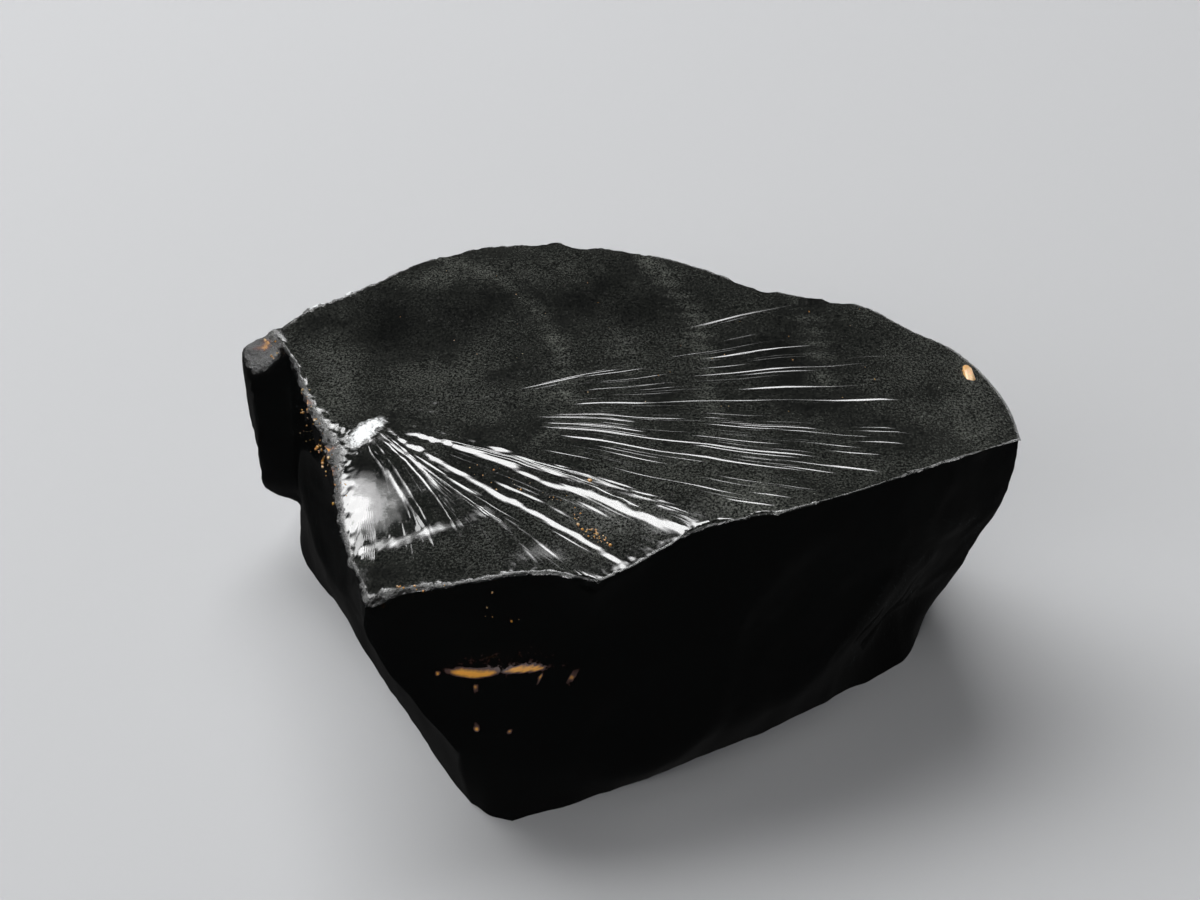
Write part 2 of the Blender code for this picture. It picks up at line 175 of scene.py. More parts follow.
# The tip of the break at the right: where it starts to fall, and its slope.
TIP_FACET_START = 14.8
TIP_FACET_FALL = 0.11

# Large scars: a place on the side, the way it faces, the ball's radius, its depth.
SCARS = (
    ((-6.8, -14.3, 9.0), (-0.05, -0.97, 0.22), 11.0, 0.55),
    ((1.6, -12.8, 7.6), (0.35, -0.93, 0.0), 15.0, 0.40),
    ((10.4, -8.7, 8.6), (0.5, -0.86, 0.0), 30.0, 0.55),
    ((18.6, -3.6, 8.0), (0.62, -0.78, 0.0), 12.0, 0.35),
    ((20.2, 3.0, 8.8), (0.95, 0.3, 0.0), 13.0, 0.60),
    ((11.5, 10.2, 9.6), (0.5, 0.87, 0.0), 22.0, 0.80),
    ((1.2, 14.8, 7.0), (0.3, 0.95, 0.05), 17.0, 0.75),
    ((-8.0, 15.4, 9.4), (-0.2, 0.98, 0.0), 20.0, 0.80),
    ((-15.6, 12.4, 6.6), (-0.5, 0.86, 0.0), 13.0, 0.60),
    ((-15.4, -2.4, 8.4), (-0.95, -0.3, 0.0), 16.0, 0.50),
    ((-12.0, -9.6, 5.8), (-0.9, -0.4, -0.1), 10.0, 0.55),
)

# The slab on the left side: its middle, its reach along each axis, how far it stands proud, the way
# it faces, and the width of its steep edge as a share of its reach.
SLAB_MIDDLE = (-19.4, 7.4, 9.5)
SLAB_REACH = (4.0, 2.6, 6.6)
SLAB_PROUD = 1.9
SLAB_FACING = (-0.96, -0.28, 0.0)
SLAB_EDGE = 0.3

# Crevices that slope in from above and end on a lip: place of the lip, half length, half height,
# depth.
CREVICES = (
    ((-5.9, -14.0, 9.6), 4.2, 0.42, 0.26),
    ((-6.4, -14.6, 5.9), 1.9, 0.20, 0.12),
)
# How many half heights above the lip the slope starts and below it the lip ends, and how far in
# front of or behind the lip the stone counts as beside it.
CREVICE_ABOVE = 2.2
CREVICE_BELOW = 1.3
CREVICE_THICKNESS = 2.5

# Chips along the rim: how many each side has, their radius and depth, how much they face up, how
# far they are drawn out along the rim, and how much larger those of the left side are. They keep
# to this span of a side, and the rim's direction is read over this short step.
CHIP_SEED = 31
CHIPS_PER_SIDE = (4, 4, 2, 5, 5, 12)
CHIP_RADIUS = (0.6, 1.3)
CHIP_DEPTH = (0.08, 0.26)
CHIP_LIFT = (0.2, 1.1)
CHIP_STRETCH = (1.0, 2.4)
LEFT_CHIP_GROWTH = 1.35
CHIP_SPAN = (0.03, 0.97)
RIM_STEP = 0.01

# Soft swells of the break and of the sides, as size and height, then how fast their finer octaves
# weaken and shrink, and how many there are.
TOP_SWELL = (9.0, 0.10)
SIDE_SWELL = (4.2, 0.22)
SWELL_WEAKENING = 0.8
SWELL_SHRINKING = 2.1
SWELL_OCTAVES = 3

# What only the fine surface has.
# The bright strips of the two ridges, which overlap like torn edges. Each line here and below has
# its start, its end, its bow to the back, its height and the width of its cliff.
RIDGE_STRIPS = (
    ((-12.4, -1.9), (-10.4, -4.0), -0.15, 0.07, 0.24),
    ((-11.2, -3.3), (-6.6, -6.9), -0.02, 0.11, 0.32),
    ((-7.2, -6.7), (-3.4, -9.5), 0.15, 0.12, 0.34),
    ((-4.1, -9.0), (0.3, -12.6), 0.19, 0.11, 0.30),
    ((-6.6, -6.4), (-1.7, -10.2), 0.45, 0.05, 0.18),
    ((-8.7, -6.0), (-6.7, -7.2), -0.20, 0.03, 0.10),
    ((-11.4, -3.6), (-9.7, -5.4), -0.12, 0.03, 0.10),
    ((-11.6, -2.4), (-4.9, -5.6), 0.20, 0.12, 0.34),
    ((-6.1, -4.9), (-2.8, -7.1), -0.10, 0.08, 0.24),
    ((-3.2, -6.9), (0.4, -8.7), 0.18, 0.12, 0.34),
    ((-0.4, -8.3), (3.7, -10.5), -0.13, 0.14, 0.40),
    ((-11.5, -1.7), (-4.8, -5.2), 0.34, 0.08, 0.28),
    ((-11.4, -1.3), (-7.8, -2.8), 0.20, 0.05, 0.26),
    ((-12.0, -2.8), (-8.3, -5.0), 0.05, 0.04, 0.20),
    ((-7.2, -3.6), (-4.6, -5.1), 0.08, 0.06, 0.18),
    ((-4.5, -5.1), (-2.3, -6.8), 0.07, 0.05, 0.16),
    ((-4.5, -4.3), (-1.3, -6.5), -0.21, 0.04, 0.12),
    ((-1.4, -6.4), (3.9, -10.3), 0.54, 0.04, 0.12),
    ((-1.1, -6.8), (3.7, -10.5), 0.48, 0.03, 0.10),
    ((-3.5, -7.3), (-0.3, -8.7), -0.26, 0.02, 0.08),
)
# Lines of the dish: most fan out across it, two form the torn arc across its floor, and the last
# four cross its bright patch.
DISH_LINES = (
    ((-13.3, -3.6), (-9.1, -11.0), 0.25, 0.040, 0.11),
    ((-12.9, -3.1), (-9.4, -9.7), 0.17, 0.034, 0.10),
    ((-12.6, -2.9), (-8.1, -10.0), 0.46, 0.040, 0.11),
    ((-12.3, -3.1), (-8.0, -9.6), 0.62, 0.032, 0.10),
    ((-13.2, -3.4), (-12.0, -5.6), -0.12, 0.020, 0.08),
    ((-7.2, -8.9), (-5.8, -12.1), 0.03, 0.026, 0.10),
    ((-6.6, -8.3), (-4.2, -11.9), 0.03, 0.028, 0.10),
    ((-6.0, -8.6), (-3.0, -11.9), 0.03, 0.028, 0.10),
    ((-7.6, -8.8), (-7.0, -12.0), 0.02, 0.024, 0.10),
    ((-13.0, -3.6), (-10.6, -8.6), 0.20, 0.030, 0.10),
    ((-12.4, -2.6), (-8.9, -7.9), 0.40, 0.032, 0.10),
    ((-15.0, -10.4), (-8.3, -9.0), -0.25, 0.13, 0.32),
    ((-10.5, -9.6), (-6.2, -7.9), -0.15, 0.06, 0.20),
    ((-13.8, -7.3), (-11.3, -7.5), 0.03, 0.020, 0.10),
    ((-13.7, -8.1), (-11.0, -8.2), 0.03, 0.024, 0.10),
    ((-13.5, -8.8), (-11.4, -9.0), 0.03, 0.020, 0.10),
    ((-13.3, -9.4), (-11.9, -9.5), 0.02, 0.018, 0.08),
)
# Faint lines that lead from the start of the break to the hackles.
LEADING_LINES = (
    ((-12.3, -0.3), (-6.9, -2.3), 0.55, 0.045, 0.28),
    ((-11.0, 1.4), (-5.1, -0.2), 0.35, 0.040, 0.28),
    ((-12.0, 0.4), (-8.2, -0.6), 0.25, 0.040, 0.26),
)
# How far behind its cliff each of these lines falls back, and to how many times that it is felt.
LINE_FALL = 0.8
LINE_FELT = 5.0
# How much the lines of each group wander, in widths of their cliff, and the waves of it as radians
# per millimetre and amount.
RIDGE_RAGGEDNESS = 0.16
DISH_LINE_RAGGEDNESS = 0.10
LEADING_LINE_RAGGEDNESS = 0.06
LINE_WAVES = ((4.1, 1.0), (9.7, 0.7))
# The share of a line's height that is even and the one that comes and goes, the two waves of that
# in radians per millimetre, and by how many radians they shift from line to line. Then the share of
# its length over which a line rises at each end.
LINE_TORN = (0.72, 0.28)
LINE_TEARS = (2.3, 5.9)
LINE_TEAR_SHIFT = 1.7
LINE_END_SHARE = 0.12

# The longest hackles, which cross the right two thirds of the break along the flow lines: place in
# millimetres around the rim from the front left corner, height, and the distances from the start of
# the break where each starts and stops.
LONG_HACKLES = (
    (30.6, 0.036, 9.4, 22.6),
    (28.4, 0.036, 9.4, 23.3),
    (29.6, 0.030, 23.3, 26.5),
    (40.2, 0.032, 10.9, 28.1),
    (51.0, 0.024, 12.2, 16.8),
    (44.2, 0.024, 14.8, 17.0),
    (44.1, 0.030, 20.5, 28.4),
    (47.1, 0.026, 19.4, 25.0),
    (41.8, 0.028, 20.5, 28.6),
    (33.9, 0.026, 20.2, 22.3),
    (34.0, 0.030, 24.9, 27.6),
    (31.9, 0.032, 23.6, 27.0),
    (29.4, 0.028, 18.4, 22.6),
    (32.5, 0.026, 13.6, 15.3),
    (31.2, 0.026, 19.6, 23.9),
    (24.3, 0.024, 19.4, 22.0),
    (38.6, 0.030, 26.0, 29.0),
    (36.6, 0.026, 11.5, 17.0),
    (35.0, 0.030, 8.6, 14.0),
    (32.2, 0.028, 9.2, 14.2),
    (26.4, 0.024, 12.5, 16.5),
)
# Fine hackles between them. Each run has its first and last place, its number of lines, their
# heights, the distances from the start of the break where they start, and their lengths.
HACKLE_SEED = 5
HACKLE_RUNS = (
    {"from": 23.5, "to": 50.0, "lines": 60, "height": (0.012, 0.026), "start": (8.6, 13.6),
     "length": (1.5, 6.5)},
    {"from": 22.5, "to": 54.0, "lines": 84, "height": (0.016, 0.036), "start": (16.4, 20.5),
     "length": (2.0, 7.5)},
    {"from": 22.5, "to": 47.0, "lines": 44, "height": (0.016, 0.034), "start": (23.4, 26.0),
     "length": (1.5, 4.0)},
    {"from": 1.5, "to": 11.5, "lines": 16, "height": (0.003, 0.008), "start": (2.0, 7.0),
     "length": (1.5, 4.0)},
    {"from": 12.6, "to": 19.6, "lines": 34, "height": (0.010, 0.026), "start": (2.0, 12.0),
     "length": (1.5, 5.0)},
)
# Where in its own step a line of a run may lie, and how strongly low lines outnumber high ones.
HACKLE_JITTER = (0.1, 0.9)
HACKLE_LOWNESS = 1.6
# A hackle's cliff: its slope and least width, how far behind it the stone falls back, and how far
# around the rim it is felt.
HACKLE_CLIFF_SLOPE = 0.30
HACKLE_THINNEST = 0.04
HACKLE_FALL = 0.45
HACKLE_FELT = 6.0
# How far it wanders, in how many radians along its flow line, and by how many radians per
# millimetre around the rim these waves and those of its height shift from hackle to hackle.
HACKLE_WANDER = 0.02
HACKLE_WAVES = 17.0
HACKLE_WAVE_SHIFT = 5.0
HACKLE_TEAR_SHIFT = 7.0
# The even and the uneven share of its height, and the waves of that in radians per millimetre, with
# the slower one as a share of the first.
HACKLE_TORN = (0.8, 0.2)
HACKLE_TEARS = 3.1
HACKLE_SLOW_TEARS = 0.37
# The length over which it rises at each end, and the share of the flow line where all have died
# away, with the share before it over which they do.
HACKLE_END = 0.8
HACKLE_LAST_SHARE = 0.97
HACKLE_LAST_FADE = 0.03

# All stone higher than this belongs to the break or stands beside its rim.
TOP_LOWEST = 13.0

# Where the blow crushed the glass white, a white that is partly a painted glare on the bulb there: the
# middle, the direction, the reaches, how deep the middle would be and how much is lost with each
# reach, and the grains as size and height.
CRUSH_MIDDLE = (-13.35, -2.3)
CRUSH_TURN = math.radians(54)
CRUSH_REACH = (1.45, 0.70)
CRUSH_CORE = 1.35
CRUSH_LOSS = 1.05
CRUSH_GRAINS = ((0.55, 0.16), (0.22, 0.08))

# Dust on the break: an even film, then places with more or less of it as middle, reach and change.
DUST_FILM = 0.34
DUST_PLACES = (
    ((4.0, -8.0), (9.0, 2.6), 0.38),
    ((19.0, 0.5), (3.6, 5.0), 0.34),
    ((-8.5, 1.5), (4.6, 2.8), 0.20),
    ((-13.0, 6.0), (3.0, 4.0), -0.10),
    ((-9.0, 7.5), (5.0, 3.6), -0.12),
    ((3.0, 9.0), (9.0, 3.4), -0.14),
    ((10.0, 3.0), (5.0, 3.0), -0.16),
    ((-14.5, 8.5), (3.4, 3.0), -0.14),
    ((-12.5, 12.0), (5.0, 1.2), 0.30),
    ((-9.5, -8.5), (4.6, 4.0), -0.12),
    ((-13.5, -6.5), (1.8, 3.0), -0.30),
    ((-4.0, -7.0), (4.0, 1.2), -0.20),
    ((-16.0, 4.0), (1.6, 5.0), 0.30),
)
# Dust that lies along the break's faint ripples: their middle, each one's radius, width and amount,
# and where towards the back they start and over what distance.
DUST_BAND_MIDDLE = (-16.0, 2.0)
DUST_BANDS = ((13.1, 0.30, 0.50), (16.6, 0.25, 0.18), (21.0, 0.40, 0.50), (27.2, 0.35, 0.40))
DUST_BANDS_FROM = -5.0
DUST_BANDS_RISE = 2.0

# Small chips: how many each side has, their radius, and their depth as a share of it.
SMALL_CHIP_SEED = 77
SMALL_CHIPS_PER_SIDE = (12, 12, 8, 12, 14, 34)
SMALL_CHIP_RADIUS = (0.08, 0.34)
SMALL_CHIP_DEPTH = 0.25

# Crumbling beside the rim, by side: how high it stands, its grain sizes and its reach. Then how
# little crumbling and crushing is left out.
CRUMBLE = (0.06, 0.03, 0.03, 0.03, 0.05, 0.28)
CRUMBLE_GRAINS = (0.85, 0.30)
CRUMBLE_REACH = 0.8
LEAST_CRUMBLE = 0.004
LEAST_CRUSH = 0.05

# Fine unevenness of the sides as size and height, its octaves, and how much of it the break has.
FINE_SWELLS = ((1.3, 0.020), (0.45, 0.006))
FINE_SWELL_OCTAVES = 2
FINE_SWELL_ON_TOP = 0.35

# How strongly each side's rim is crushed, how far from it the gloss is worn off, and the worn spot
# on the slab's top as place and reach.
RIM_CRUSH = (0.05, 0.04, 0.10, 0.10, 0.22, 0.08)
RIM_WEAR = (0.16, 0.08, 0.10, 0.10, 0.12, 0.60)
WORN_SPOT = ((-20.3, 6.9, 14.6), 1.5)
# A painted highlight: a pale stretch painted along the back left rim where it catches the light, as
# start, end, width and amount, the shares of it where it starts, is full, and ends, and how far below
# the rim it goes.
PAINTED_RIM_HIGHLIGHT = ((-18.0, 9.5), (-14.2, 11.8), 0.30, 0.95)
PAINTED_RIM_HIGHLIGHT_SPAN = (0.0, 0.15, 0.7, 1.0)
PAINTED_RIM_HIGHLIGHT_DEPTH = 0.3

# Small rusty spots as place and reach.
RUST_SPOTS = (
    ((-19.9, 7.2, 14.6), 0.32),
    ((-15.3, -3.4, 15.3), 0.35),
    ((-15.0, -5.2, 15.1), 0.28),
    ((-16.9, 0.6, 15.3), 0.30),
    ((-7.3, -14.0, 8.4), 0.11),
    ((-4.0, -13.7, 8.8), 0.10),
    ((-2.4, -13.4, 8.5), 0.12),
    ((-9.2, -13.8, 9.1), 0.10),
    ((-5.6, -14.8, 6.0), 0.12),
    ((-7.3, -14.7, 6.1), 0.14),
    ((9.6, -9.3, 15.3), 0.22),
)
# The thick crusts on the lip of the upper crevice: middle, half length, half height, and how far
# the ends hang below the middle. The rust ends at the edge and thins over the fade before it, both
# in half sizes, and covers stone as near to the lip as its thickness.
RUST_CRUSTS = (
    ((-7.45, -13.8, 9.05), 1.20, 0.20, -0.10),
    ((-4.75, -13.6, 9.20), 1.00, 0.12, 0.02),
)
RUST_CRUST_EDGE = 1.4
RUST_CRUST_FADE = 0.9
RUST_CRUST_THICKNESS = 1.5

# The thin stain around them: its strength, and between which half heights above the lip it lies.
RUST_STAIN = 0.12
RUST_STAIN_RISES = (-2.4, -1.2, 0.6, 3.0)

# Grit, which lies on stone that is higher than this. Each patch has the line it lies along, its
# spread, its grains' sizes and colour values, and its share of the grains. Then single flakes as
# place, reach and turn.
GRIT_SEED = 12
GRIT_LOWEST = 12.0
GRIT_PATCHES = (
    ((-2.6, -9.0), (-0.5, -10.9), 0.14, (0.03, 0.10), (0.3, 1.0), 46),
    ((-17.3, 2.0), (-14.4, -6.6), 0.22, (0.03, 0.11), (0.0, 0.9), 70),
    ((-20.3, 7.6), (-19.2, 6.2), 0.20, (0.03, 0.11), (0.1, 1.0), 16),
    ((-11.5, -13.9), (-5.0, -13.0), 0.10, (0.03, 0.08), (0.2, 0.9), 16),
    ((-8.0, -5.4), (-2.0, -8.4), 0.35, (0.02, 0.06), (0.2, 1.0), 26),
    ((-12.0, 6.0), (16.0, 2.0), 3.2, (0.015, 0.05), (0.0, 1.0), 40),
)
FLAKES = (
    ((19.3, 3.2), (0.32, 0.72, 0.22), (0.30, 0.1, 0.22)),
    ((-1.5, -6.7), (0.12, 0.10, 0.08), (0.0, 0.3, 0.2)),
)
# How high a grain's middle stands over the surface as a share of its size, and the least and most
# that a grain is stretched along an axis and a corner of it is moved in or out.
GRAIN_RISE = 0.25
GRAIN_STRETCH = (0.6, 1.3)
GRAIN_JAG = (0.7, 1.1)
# How much a flake's corners move and how finely, and its colour value.
FLAKE_JAG = 0.25
FLAKE_FINENESS = 2.1
FLAKE_TINT = 0.66

# Rings of faces: near the start of the break out to a share of the flow lines, over the rest of it
# up to another share, beside the rim on both sides of it, down the sides with extra ones across the
# crevices, and from the knee to the foot. The first ones, and those further down than the ones
# beside the rim, have one column in four.
FIRST_RING_COUNT = 46
FIRST_RING_SHARE = 0.24
TOP_RING_COUNT = 26
TOP_RING_SHARE = 0.96
RIM_RING_COUNT = 6
RIM_RING_SHARE = 0.10
SIDE_RING_COUNT = 18
CREVICE_RINGS = ((0.46, 0.58, 12), (0.83, 0.91, 5))
KNEE_RING_COUNT = 3
THINNING = 4
# How strongly the rings crowd towards the start and towards the rim from above and from below, and
# the least share of a side between two rings.
START_CROWDING = 1.2
RIM_CROWDING_ABOVE = 1.3
RIM_CROWDING_BELOW = 1.4
LEAST_RING_GAP = 0.004
# The base: its middle, the shares of the way out to the foot where it has rings, and how much
# higher than it every other ring stays. Then the angle from which an edge looks sharp.
BASE_MIDDLE = (-1.5, 0.0)
BASE_RING_SHARES = (0.9, 0.5)
LEAST_HEIGHT = 0.05
SHARP_ANGLE = math.radians(42)

# The finish. Pattern sizes and depths are in millimetres: drifts and grains of dust, the spacing of
# its specks, grains of crushed glass and patches of its powder, grains of rust, patches, grains and
# their depth on the worn rims, the faint unevenness of the fresh glass, and the mottling of the grit.
DUST_DRIFT = 3.4
DUST_GRAIN = 0.12
SPECK_SPACING = 0.42
CRUSHED_GRAIN = 0.24
POWDER_PATCH = 0.30
RUST_GRAIN = 0.30
WORN_PATCH = 0.35
WORN_GRAIN = 0.30
WORN_DEPTH = 0.30
SKIN_GRAIN = 0.19
SKIN_DEPTH = 0.02
GRIT_MOTTLE = 0.12
# Between these values lies nearly all of a noise pattern.
NOISE_SPAN = (0.30, 0.70)
# The roughness of the fresh glass and of its dullest places, and its index of refraction.
GLOSS_ROUGHNESS = 0.10
DULL_ROUGHNESS = 0.75
SHUNGITE_IOR = 1.6

# The stage: half the floor's side in metres, the point in millimetres that the camera looks at, its
# sensor in millimetres, the nearest that it sees in metres, and the light of the room.
FLOOR_HALF = 1.5
CAMERA_TARGET = (-0.84, 5.73, 8.0)
SENSOR_WIDTH = 36.0
NEAREST_SEEN = 0.01
WORLD_STRENGTH = 0.02
# Soft lights over the stone: name, the angles between which each stands from left to right and from
# the back horizon over the top to the front, its distance in metres, its radiance, and whether it
# is seen as gloss or lights what is matt.
SOFTBOXES = (
    ("gloss_card", (-48, 28), (72, 108), 0.5, 16.0, "gloss"),
    ("gloss_edge", (-48, 28), (66.5, 72), 0.5, 8.0, "gloss"),
    ("gloss_fringe", (-48, 28), (61.5, 66.5), 0.5, 1.8, "gloss"),
    ("left_card", (-50, -26), (28, 58), 0.5, 8.0, "gloss"),
    ("right_card", (28, 50), (28, 58), 0.5, 8.0, "gloss"),
    ("fill", (-50, 10), (45, 75), 0.6, 7.0, "light"),
    ("front_fill", (-50, 0), (120, 150), 0.6, 2.5, "light"),
)


def smooth_path(points, shares):
    """Places at the given shares, 0 to 1, of a smooth curve through a few points."""
    knots = np.array(points, dtype=float)
    gaps = np.linalg.norm(np.diff(knots, axis=0), axis=1)
    at = np.concatenate(([0.0], np.cumsum(gaps))) / gaps.sum()
    slopes = np.gradient(knots, at, axis=0)
    first = np.clip(np.searchsorted(at, shares, side="right") - 1, 0, len(gaps) - 1)
    span = (at[first + 1] - at[first])[:, None]
    u = (shares - at[first])[:, None] / span
    near, far = knots[first], knots[first + 1]
    leave, arrive = slopes[first] * span, slopes[first + 1] * span
    return (near * (2 * u**3 - 3 * u**2 + 1) + leave * (u**3 - 2 * u**2 + u)
            + far * (3 * u**2 - 2 * u**3) + arrive * (u**3 - u**2))


def smoothstep(value):
    """An even rise from 0 to 1 while the value goes from 0 to 1."""
    share = np.clip(value, 0.0, 1.0)
    return share * share * (3.0 - 2.0 * share)


def unit(direction):
    """The same direction with a length of one."""
    vector = np.array(direction, dtype=float)
    return vector / np.linalg.norm(vector)


def level_line(level, shares_by_side):
    """One line around the stone at a named level, side after side."""
    return np.vstack([smooth_path(side[level], shares)
                      for side, shares in zip(SIDES, shares_by_side)])


def fade(value, starts, full_from, full_to, stops):
    """A window that rises from 0 to 1, stays, and falls back to 0."""
    rise = smoothstep((value - starts) / (full_from - starts))
    return rise * smoothstep((stops - value) / (stops - full_to))


def by_side(values, place):
    """A value for each side, blended from the middle of one side to the middle of the next."""
    return np.interp(place, np.arange(len(values)) + 0.5, values, period=len(values))


def along_and_behind(x, y, start, end, bow):
    """The share of a bowed line beside each point, how far the point lies behind the line, and the
    line's length."""
    run = np.subtract(end, start)
    length = np.linalg.norm(run)
    run = run / length
    share = ((x - start[0]) * run[0] + (y - start[1]) * run[1]) / length
    behind = (y - start[1]) * run[0] - (x - start[0]) * run[1] - 4.0 * bow * share * (1.0 - share)
    return share, behind, length


def line_relief(x, y, lines, raggedness):
    """Height of thin cliffs along bowed lines. Each wanders a little and is higher in some places
    than in others, as a torn edge is."""
    height = np.zeros_like(x)
    even, uneven = LINE_TORN
    slow, fast = LINE_TEARS
    for number, (start, end, bow, rise, width) in enumerate(lines):
        share, behind, length = along_and_behind(x, y, start, end, bow)
        near = (share > 0.0) & (share < 1.0) & (np.abs(behind) < LINE_FELT * LINE_FALL)
        place = share[near] * length
        wander = sum(amount * np.sin(rate * place + turns * number)
                     for turns, (rate, amount) in enumerate(LINE_WAVES, start=1))
        behind = behind[near] + raggedness * width * wander
        cliff = smoothstep(behind / width + 0.5)
        fall = np.exp(-np.clip(behind - 0.5 * width, 0.0, None) / LINE_FALL)
        torn = even + (uneven * np.sin(slow * place + LINE_TEAR_SHIFT * number)
                       * np.sin(fast * place + number))
        ends = fade(share[near], 0.0, LINE_END_SHARE, 1.0 - LINE_END_SHARE, 1.0)
        height[near] += rise * cliff * fall * torn * ends
    return height


def dish_relief(x, y):
    """Depth of the shell-shaped dish, as a height below the break."""
    depth = DISH_DEPTH * np.exp(-(np.clip(x - DISH_SIDE, 0.0, None) / DISH_REACH) ** 2)
    falls, full = DISH_FALL
    rises, gone = DISH_RETURN
    return -depth * smoothstep((y - falls) / (full - falls)) * smoothstep((y - gone) / (rises - gone))


def hackle_lines():
    """Every fine hackle as its place around the rim in millimetres, its height, and where it starts
    and stops along the flow line."""
    draw = random.Random(HACKLE_SEED)
    lines = list(LONG_HACKLES)
    for run in HACKLE_RUNS:
        step = (run["to"] - run["from"]) / run["lines"]
        for number in range(run["lines"]):
            place = run["from"] + step * (number + draw.uniform(*HACKLE_JITTER))
            low, high = run["height"]
            height = low + (high - low) * draw.random() ** HACKLE_LOWNESS
            start = draw.uniform(*run["start"])
            lines.append((place, height, start, start + draw.uniform(*run["length"])))
    return lines


def hackle_relief(rim_place, share, distance):
    """Thin cliffs along the flow lines that face the front, each with a soft fall behind it."""
    height = np.zeros_like(distance)
    even, uneven = HACKLE_TORN
    for place, rise, start, stop in hackle_lines():
        near = np.abs(rim_place - place) < HACKLE_FELT
        far = distance[:, near]
        wander = HACKLE_WANDER * np.sin(HACKLE_WAVES * share + HACKLE_WAVE_SHIFT * place)
        aside = (rim_place[near] - place) * share + wander
        cliff = max(rise / HACKLE_CLIFF_SLOPE, HACKLE_THINNEST)
        ends = smoothstep((far - start) / HACKLE_END) * smoothstep((stop - far) / HACKLE_END)
        ends = ends * smoothstep((HACKLE_LAST_SHARE - share) / HACKLE_LAST_FADE)
        fall = np.exp(-np.clip(aside - cliff / 2, 0.0, None) / HACKLE_FALL)
        torn = even + (uneven * np.sin(HACKLE_TEARS * far + HACKLE_TEAR_SHIFT * place)
                       * np.sin(HACKLE_SLOW_TEARS * HACKLE_TEARS * far))
        height[:, near] += rise * torn * ends * smoothstep(aside / cliff + 0.5) * fall
    return height


def ring_shares():
    """Shares along a flow line: close together near its start and beside the rim."""
    first = FIRST_RING_SHARE * np.linspace(0.0, 1.0, FIRST_RING_COUNT + 1)[1:] ** START_CROWDING
    inner = np.linspace(FIRST_RING_SHARE, TOP_RING_SHARE, TOP_RING_COUNT + 1)[1:]
    left = np.linspace(1.0, 0.0, RIM_RING_COUNT + 1)[1:] ** RIM_CROWDING_ABOVE
    outer = 1.0 - (1.0 - inner[-1]) * left
    return np.concatenate((first, inner, outer))


def break_surface(rim, place, rim_place):
    """The rings of the broken top, from beside the start of the break out to the rim."""
    start = np.array(BREAK_START)
    keys = np.array(FLOW_BENDS)
    bend = np.column_stack([np.interp(place, keys[:, 0], keys[:, axis]) for axis in (1, 2)])
    control = (start[:2] + rim[:, :2]) / 2.0 + bend
    share = ring_shares()[:, None]
    x, y = ((1 - share) ** 2 * start[axis] + 2 * share * (1 - share) * control[:, axis]
            + share**2 * rim[:, axis] for axis in (0, 1))
    y = y - FLOW_SAG * fade(place, *FLOW_SAG_PLACES) * share**2 * (1.0 - share) * FLOW_SAG_SCALE
    distance = np.hypot(x - start[0], y - start[1])
    height = start[2] + (rim[:, 2] - start[2]) * share
    height = height + dish_relief(x, y)
    height += BULB_HEIGHT * np.exp(-(distance / BULB_REACH) ** 2)
    height += line_relief(x, y, RIDGE_STRIPS, RIDGE_RAGGEDNESS)
    height += line_relief(x, y, DISH_LINES, DISH_LINE_RAGGEDNESS)
    height += line_relief(x, y, LEADING_LINES, LEADING_LINE_RAGGEDNESS)
    height += hackle_relief(rim_place, share, distance)
    ripple = np.sin(distance / RIPPLE_SPACING * 2 * math.pi)
    ripple *= smoothstep(distance / RIPPLE_RISE - RIPPLE_LAG)
    height += RIPPLE_HEIGHT * ripple * smoothstep((1.0 - share) / RIPPLE_RIM_SHARE)
    height -= TIP_FACET_FALL * np.clip(x - TIP_FACET_START, 0.0, None)
    return list(np.dstack((x, y, height)))


def side_surface(rim, mid, knee, foot):
    """The rings down the sides: a curve from rim to knee through the mid line, then to the foot."""
    control = 2.0 * mid - (rim + knee) / 2.0
    near_rim = RIM_RING_SHARE * np.linspace(0.0, 1.0, RIM_RING_COUNT + 1)[1:] ** RIM_CROWDING_BELOW
    even = np.linspace(near_rim[-1], 1.0, SIDE_RING_COUNT + 1)[1:]
    extra = [np.linspace(*crevice) for crevice in CREVICE_RINGS]
    down = np.sort(np.concatenate((near_rim, even, *extra)))
    down = down[np.diff(down, prepend=-1.0) > LEAST_RING_GAP]
    upper = [(1 - t) ** 2 * rim + 2 * t * (1 - t) * control + t * t * knee for t in down]
    lower = [knee + (foot - knee) * t for t in np.linspace(0.0, 1.0, KNEE_RING_COUNT + 1)[1:]]
    return upper + lower


def scoop(points, place, facing, radius, depth, along=None, stretch=1.0):
    """Bite a ball out of the surface, as a blow leaves a shell-shaped scar. A stretched ball
    reaches further along one direction."""
    out = unit(facing)
    away = points - (np.array(place) + out * (radius - depth))
    if along is not None:
        away = away - along * (away @ along)[..., None] * (1.0 - 1.0 / stretch)
    height = away @ out
    beside = np.clip(radius**2 - (away * away).sum(axis=-1) + height**2, 0.0, None)
    sink = np.where(beside > 0.0, height + np.sqrt(beside), 0.0)
    return points - out * np.clip(sink, 0.0, 2.0 * radius)[..., None]


def rim_facing(side, share):
    """The level direction that a side's rim faces at a share of its length."""
    near, far = smooth_path(side["rim"], np.array((share - RIM_STEP, share + RIM_STEP)))
    return unit((far[1] - near[1], near[0] - far[0], 0.0))


